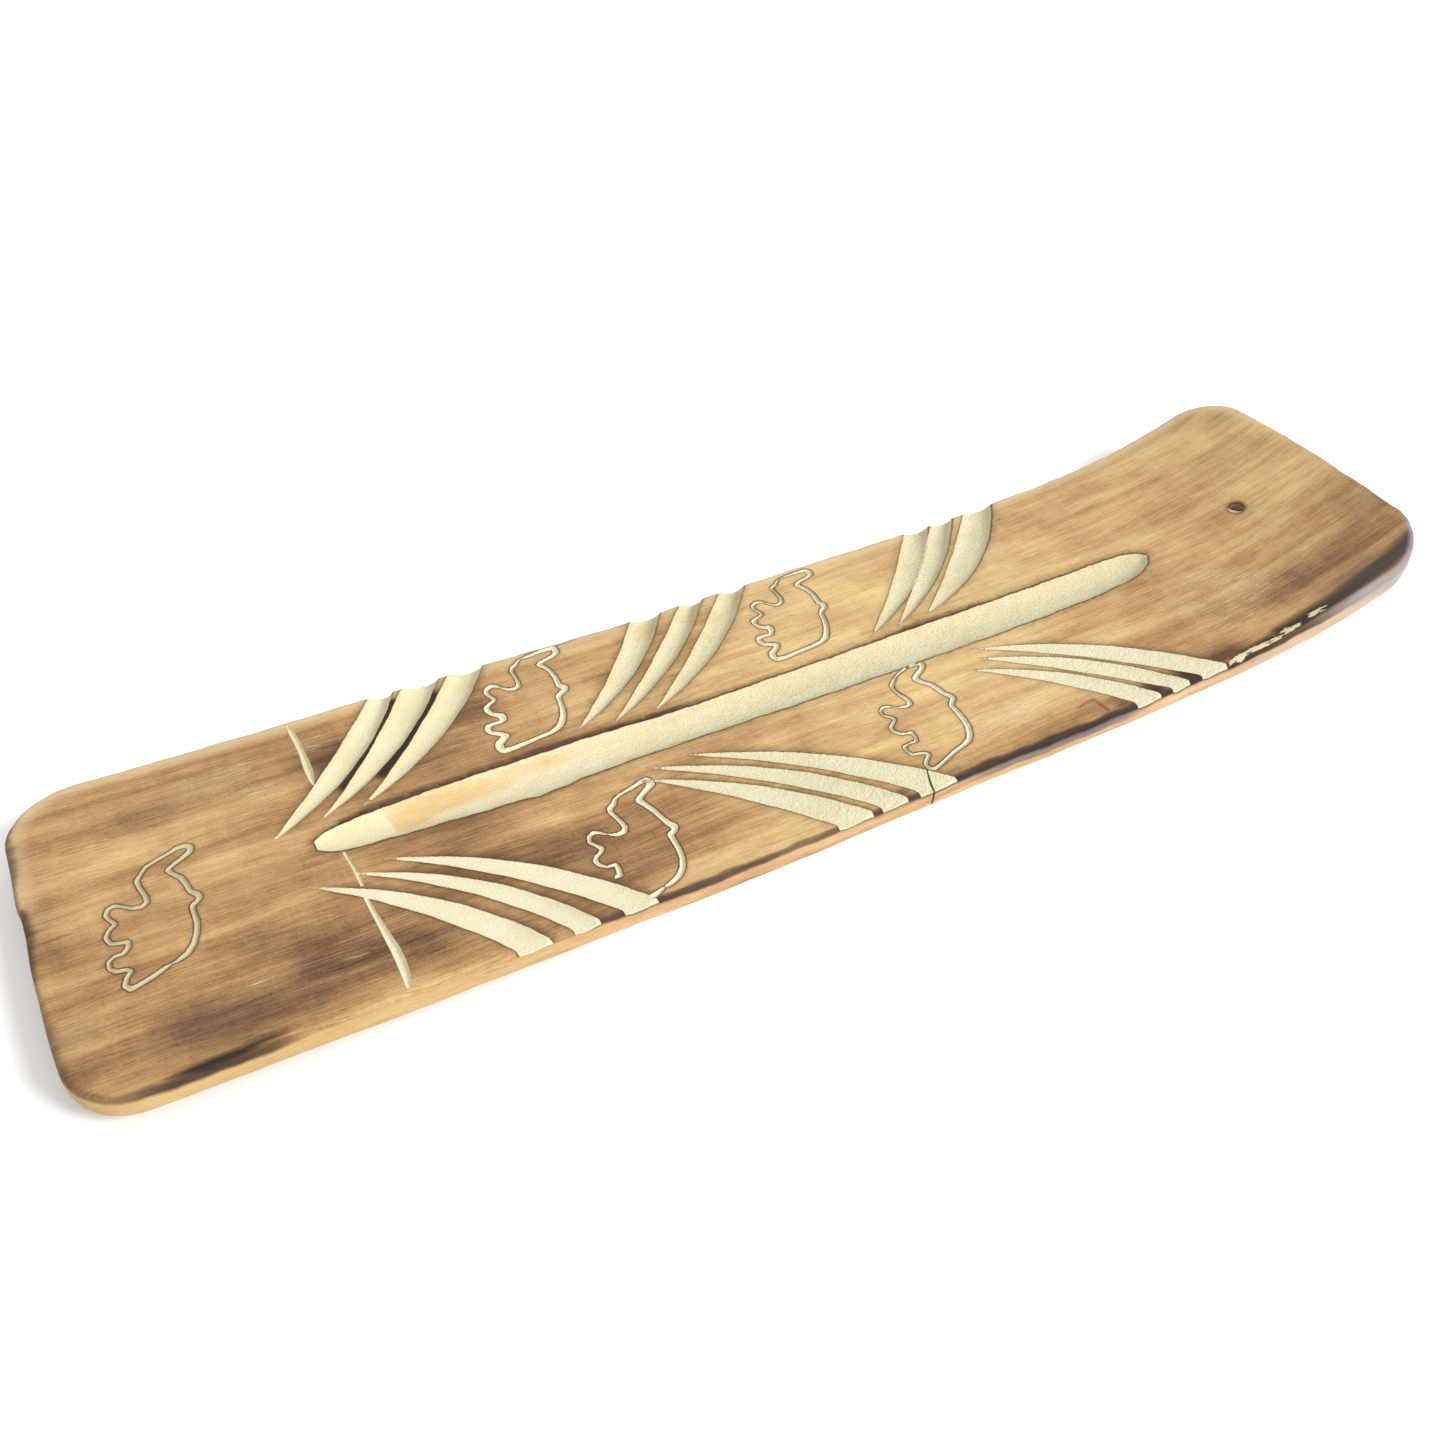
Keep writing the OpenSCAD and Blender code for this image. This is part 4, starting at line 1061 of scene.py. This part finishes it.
def mix(amount, a, b):
    """Colour a, with an amount of colour b mixed in; each a socket or a seen colour."""
    node = new("ShaderNodeMix", data_type="RGBA")
    for socket, value in ((0, amount), (6, a), (7, b)):
        put(node.inputs[socket], shade(*value) if isinstance(value, tuple) else value)
    return node.outputs[2]


def layered(colour, *layers):
    """A colour with others laid over it in turn, each given after its amount."""
    for amount, laid in layers:
        colour = mix(amount, colour, laid)
    return colour


def ramp(value, stops):
    """A colour that runs through the stops, (place, seen colour), as the value rises."""
    node = new("ShaderNodeValToRGB", {"Fac": value})
    elements = node.color_ramp.elements
    while len(elements) < len(stops):
        elements.new(0.5)
    for element, (at, colour) in zip(elements, stops):
        element.position, element.color = at, (*shade(*colour), 1)
    return node.outputs["Color"]


x, y, z, plan = attribute("plan")
stroke, groove, drawn, _ = attribute("rims")
edge_in, scored, crack, _ = attribute("edges")
light, burn, grey, _ = attribute("look")
fleck, flake, knife, _ = attribute("wear")
thin, halo, bare_and_lit, _ = attribute("sides")
reach, strength, _, _ = attribute("bands")

# grain: long streaks that wander a little
wander = noise(plan, (70, 14, 14), 2)
moved = new("ShaderNodeCombineXYZ", {0: 0.0, 1: centred(wander, 5.0), 2: 0.0})
grain = new("ShaderNodeVectorMath", {0: plan, 1: moved.outputs[0]}).outputs[0]
broad = noise(grain, (90, 6, 5.5), 3)
streak = noise(grain, (26, 1.5, 1.4), 4, 0.62)
fibre = noise(grain, (6, 0.26, 0.26), 3, 0.62)
pore = noise(grain, (3.2, 0.13, 0.16), 2, 0.5)
figure = noise(plan, (1.8, 8, 5), 2)
cloud = noise(plan, (16, 9, 9), 3)
fine = noise(plan, (0.55, 0.4, 0.4), 3, 0.6)

raw = step(edge_in, 0.1, -0.5)
tone = total(
    0.52,
    light,
    centred(broad, 0.7),
    centred(streak, 0.4),
    centred(fibre, 0.6),
    centred(figure, 0.14),
    centred(cloud, 0.6),
    centred(fine, 0.3),
)
browns = [(0.0, (84, 58, 40)), (0.2, (134, 98, 66)), (0.42, (182, 139, 90))]
browns += [(0.66, (216, 177, 120)), (1.0, (250, 218, 154))]
pores = step(pore, 0.36, 0.24)
# the far edge and the ends are paler: worn wood, and a painted highlight along the far rim
worn_and_highlit = times(step(total(edge_in, times(cloud, 2.4)), 5.2, 1.2), step(y, -10, 26))
wood_colour = layered(
    ramp(tone, browns),
    (times(pores, 0.5), (112, 76, 46)),
    (times(grey, step(streak, 0.3, 0.65), 0.6), (128, 120, 108)),
    (times(worn_and_highlit, 0.62), (246, 222, 176)),
)

# unburnt wood on the side faces and underneath
raw_tone = total(
    calc("MULTIPLY_ADD", streak, 1.3, -0.15),
    centred(cloud, 0.5),
    centred(fibre, 0.8),
    times(pores, -0.2),
)
side_face = step(edge_in, -4.4, -4.0)
raw_colour = layered(
    ramp(raw_tone, [(0.16, (140, 98, 68)), (0.36, (208, 164, 116)), (0.8, (238, 204, 154))]),
    (times(step(x, -20, -100, 0.0, 0.6), side_face), (214, 184, 118)),
    (times(step(x, 50, 118, 0.0, 0.7), side_face), (222, 198, 178)),
)
wood_colour = mix(raw, wood_colour, raw_colour)

# burning: the patches, and brown along the rims of the cuts, which on the strokes' toe sides is partly
# painted shade
ragged = centred(noise(grain, (18, 1.4, 1.4), 4, 0.6), 0.56)
in_reach = calc("DIVIDE", calc("MAXIMUM", edge_in, 0.0), reach)
band = total(times(step(in_reach, 2.2, 0.3), 0.6), times(step(in_reach, 6.0, 0.0), 0.4))
burn = calc("MAXIMUM", burn, times(band, strength, step(edge_in, -1.1, -0.1)))
singed = total(burn, times(ragged, step(burn, 0.0, 0.35)))
burning = step(singed, 0.3, 1.0)
scorching = step(singed, 0.0, 0.6)
out_stroke, out_groove, out_drawn = (calc("MULTIPLY", rim, -1) for rim in (stroke, groove, drawn))
rough_rim = centred(noise(plan, (1.1, 0.9, 0.9), 3), 0.5)
not_raw = calc("SUBTRACT", 1, raw)
thin_line = times(step(total(out_stroke, times(rough_rim, 0.6)), 0.5, 0.0), thin)
soft_side = times(step(total(out_stroke, times(rough_rim, 2.4)), 1.9, 0.0), halo)
on_far_rim = step(y, -1, 2, 0.55, 1.0)
groove_line = times(step(total(out_groove, rough_rim), 0.6, 0.05), step(cloud, 0.3, 0.6, 0.75, 1.0))
groove_soft = times(step(total(out_groove, times(rough_rim, 2.6)), 2.1, 0.0), on_far_rim, 0.8)
drawn_line = times(step(total(out_drawn, times(rough_rim, 0.3)), 0.32, 0.1), 0.9)
browned = calc("MAXIMUM", calc("MAXIMUM", soft_side, groove_soft), times(step(out_drawn, 0.9, 0.0), 0.35))
lined = calc("MAXIMUM", calc("MAXIMUM", thin_line, groove_line), drawn_line)
black = mix(times(grey, 0.34), mix(fine, (26, 18, 14), (50, 38, 32)), (120, 114, 118))
lower = total(edge_in, times(step(x, 98, 124), 2.8), times(cloud, 1.2))
ash = times(step(edge_in, 1.5, 0.6), step(x, 92, 108), step(y, -18, -24), step(lower, -0.3, 0.6))
smoked = times(step(x, 10, 24), step(x, 58, 46), step(y, -31, -31.6), step(edge_in, -0.1, -0.5))
smoked = times(smoked, step(total(edge_in, times(streak, 1.6)), -1.4, -0.7))
wood_colour = layered(
    wood_colour,
    (times(browned, 0.6, not_raw), (100, 66, 42)),
    (times(lined, 0.85, not_raw), (66, 46, 33)),
    (times(scorching, 0.6), (104, 66, 38)),
    (times(burning, 0.95), black),
    (times(ash, 0.7), mix(streak, (140, 132, 134), (206, 198, 196))),
    (times(smoked, 0.8), (112, 104, 106)),
    (times(knife, step(fine, 0.25, 0.6), 0.8), (92, 58, 36)),
)

# whitewash left in the grain, and pale wood where the scorched edge has flaked
dash = noise(grain, (4.2, 0.2, 0.2), 2, 0.6)
patchy = centred(cloud, 0.3)
dashes = times(step(total(dash, times(fleck, 0.18), patchy), 0.68, 0.76), step(fleck, 0.02, 0.3))
flaking = step(total(flake, centred(noise(plan, (2.6, 0.5, 0.5), 4, 0.65), 2.4)), 0.5, 0.7)
flaking = times(flaking, step(flake, 0.02, 0.15), step(edge_in, -0.6, -0.2))
whitened = (times(dashes, 0.7, not_raw), (240, 224, 186))
wood_colour = layered(wood_colour, whitened, (flaking, (226, 210, 172)))

# cream paint in the cuts
inside = calc("MAXIMUM", calc("MAXIMUM", stroke, groove), calc("MAXIMUM", drawn, scored))
paint_edge = centred(noise(plan, (0.9, 0.7, 0.7), 4, 0.65), 0.2)
painted = step(total(inside, paint_edge), -0.04, 0.06)
painted = times(painted, step(total(edge_in, times(paint_edge, 1.5)), -0.5, -0.15))
sandy = noise(plan, (0.42, 0.3, 0.3), 3, 0.7)
paint_tone = total(times(cloud, 0.45), times(sandy, 0.5), times(noise(plan, (4, 3, 3), 3), 0.25))
shallow = step(total(inside, paint_edge), 0.16, 0.0)
in_drawn = step(drawn, -0.1, 0.1)
torn = calc("SUBTRACT", noise(plan, (2.6, 0.6, 0.6), 4, 0.65), 0.5)
# bare wood where the paint has gone, and painted light as warm wood on the far strokes' lit heel-side walls
bare_and_lit_wood = step(total(bare_and_lit, times(torn, 0.9)), 0.1, 1.1)
paint = layered(
    ramp(paint_tone, [(0.3, (206, 194, 150)), (0.55, (236, 226, 184)), (0.85, (252, 244, 212))]),
    (times(shallow, 0.3), (160, 136, 94)),
    # painted light: the paint is lighter towards the near edge, where the strokes' walls face away from the
    # light
    (times(step(y, -3, -8), 0.35), (255, 246, 216)),
    # painted light: the elephants' lines are made paler to offset the shade in their hollows
    (times(in_drawn, 0.5), (255, 246, 212)),
    (times(in_drawn, step(x, -90, -98), 0.6), (190, 172, 124)),
    # painted light: the groove's far half, the wall that faces the light, is warmer and paler
    (times(step(y, -0.5, 3.2), step(groove, -0.2, 0.2), 0.3), (250, 228, 176)),
    (times(step(sandy, 0.5, 0.3), step(x, -60, 20, 0.2, 0.5)), (200, 176, 122)),
    # more painted light on the near strokes in the middle of the board
    (times(step(x, -30, 30), step(y, -4, -8), 0.45), (255, 248, 212)),
    (times(bare_and_lit_wood, 0.8), mix(fibre, (204, 156, 94), (255, 222, 152))),
)

# the hole's wall is painted dark as shade in the bore, and its mouth a little burnt
from_hole = new(
    "ShaderNodeVectorMath",
    {0: new("ShaderNodeCombineXYZ", {0: x, 1: y, 2: 0.0}).outputs[0], 1: (*HOLE, 0)},
    operation="DISTANCE",
).outputs["Value"]
lip = times(step(from_hole, 1.54, 1.4), step(z, -0.9, -0.5))
colour = layered(
    mix(painted, wood_colour, paint),
    (step(crack, -0.12, 0.02), (70, 48, 34)),
    (times(step(from_hole, 2.5, 1.7), 0.6, not_raw), (112, 76, 48)),
    (times(step(from_hole, 1.68, 1.6), 0.85), (80, 54, 36)),
    (times(lip, 0.9), (226, 196, 150)),
)

relief = total(
    times(fibre, 0.09),
    times(pores, -0.05),
    times(streak, 0.06),
    times(dashes, -0.03),
    times(flaking, -0.12),
    times(step(crack, -0.15, 0.05), -0.3),
    times(knife, -0.06),
)
brushed = total(
    times(noise(plan, (0.9, 0.7, 0.7), 3, 0.6), 0.2),
    times(sandy, 0.18),
    times(noise(plan, (3, 2, 2), 2), 0.2),
)
brushed = times(brushed, step(x, -70, 10, 0.5, 1.4))
height = calc("ADD", times(relief, calc("SUBTRACT", 1, times(painted, 0.8))), times(brushed, painted))
bump = new("ShaderNodeBump", {"Strength": 1.0, "Distance": MM, "Height": height})

roughness = total(0.5, times(fibre, 0.16), times(painted, 0.16), times(burning, 0.08), times(raw, 0.08))
surface = new(
    "ShaderNodeBsdfPrincipled",
    {
        "Base Color": colour,
        "Roughness": roughness,
        "Normal": bump.outputs[0],
        "Specular IOR Level": 0.22,
    },
)
new("ShaderNodeOutputMaterial", {"Surface": surface.outputs[0]})
mesh.materials.append(wood)

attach(board, "root")
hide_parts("board")

# ---- studio ----------------------------------------------------------------
floor_mesh = bpy.data.meshes.new("floor")
floor_mesh.from_pydata([(-5, -5, 0), (5, -5, 0), (5, 5, 0), (-5, 5, 0)], [], [(0, 1, 2, 3)])
floor = bpy.data.objects.new("floor", floor_mesh)
floor.location.z = -0.02 * MM
bpy.context.scene.collection.objects.link(floor)
paper = bpy.data.materials.new("white_paper")
paper.use_nodes = True
paper_surface = paper.node_tree.nodes["Principled BSDF"]
paper_surface.inputs["Base Color"].default_value = (0.9, 0.9, 0.9, 1)
paper_surface.inputs["Roughness"].default_value = 0.9
floor_mesh.materials.append(paper)

world = bpy.data.worlds.new("studio")
bpy.context.scene.world = world
world.use_nodes = True
background = world.node_tree.nodes["Background"]
background.inputs["Color"].default_value = (1, 1, 1, 1)
background.inputs["Strength"].default_value = 0.95

sun_data = bpy.data.lights.new("key", "SUN")
sun_data.energy, sun_data.angle = 3.2, math.radians(20)
sun = bpy.data.objects.new("key", sun_data)
sun.rotation_mode = "QUATERNION"
sun.rotation_quaternion = Vector((-0.5, 0.62, -0.6)).to_track_quat("-Z", "Y")
bpy.context.scene.collection.objects.link(sun)

# the camera stands where the photo was taken from
camera_data = bpy.data.cameras.new("camera")
camera_data.sensor_width, camera_data.lens = 36, 34.16
camera_data.clip_start, camera_data.clip_end = 0.005, 20
camera = bpy.data.objects.new("camera", camera_data)
right = Vector((0.8737766, -0.4859782, 0.0184293))
down = Vector((-0.3178009, -0.5992620, -0.7347704))
forward = right.cross(down)
camera.matrix_world = Matrix.Translation((-0.10193, -0.15218, 0.16491)) @ (
    Matrix((right, -down, -forward)).transposed().to_4x4()
)
bpy.context.scene.collection.objects.link(camera)
bpy.context.scene.camera = camera
bpy.context.scene.view_settings.view_transform = "Standard"
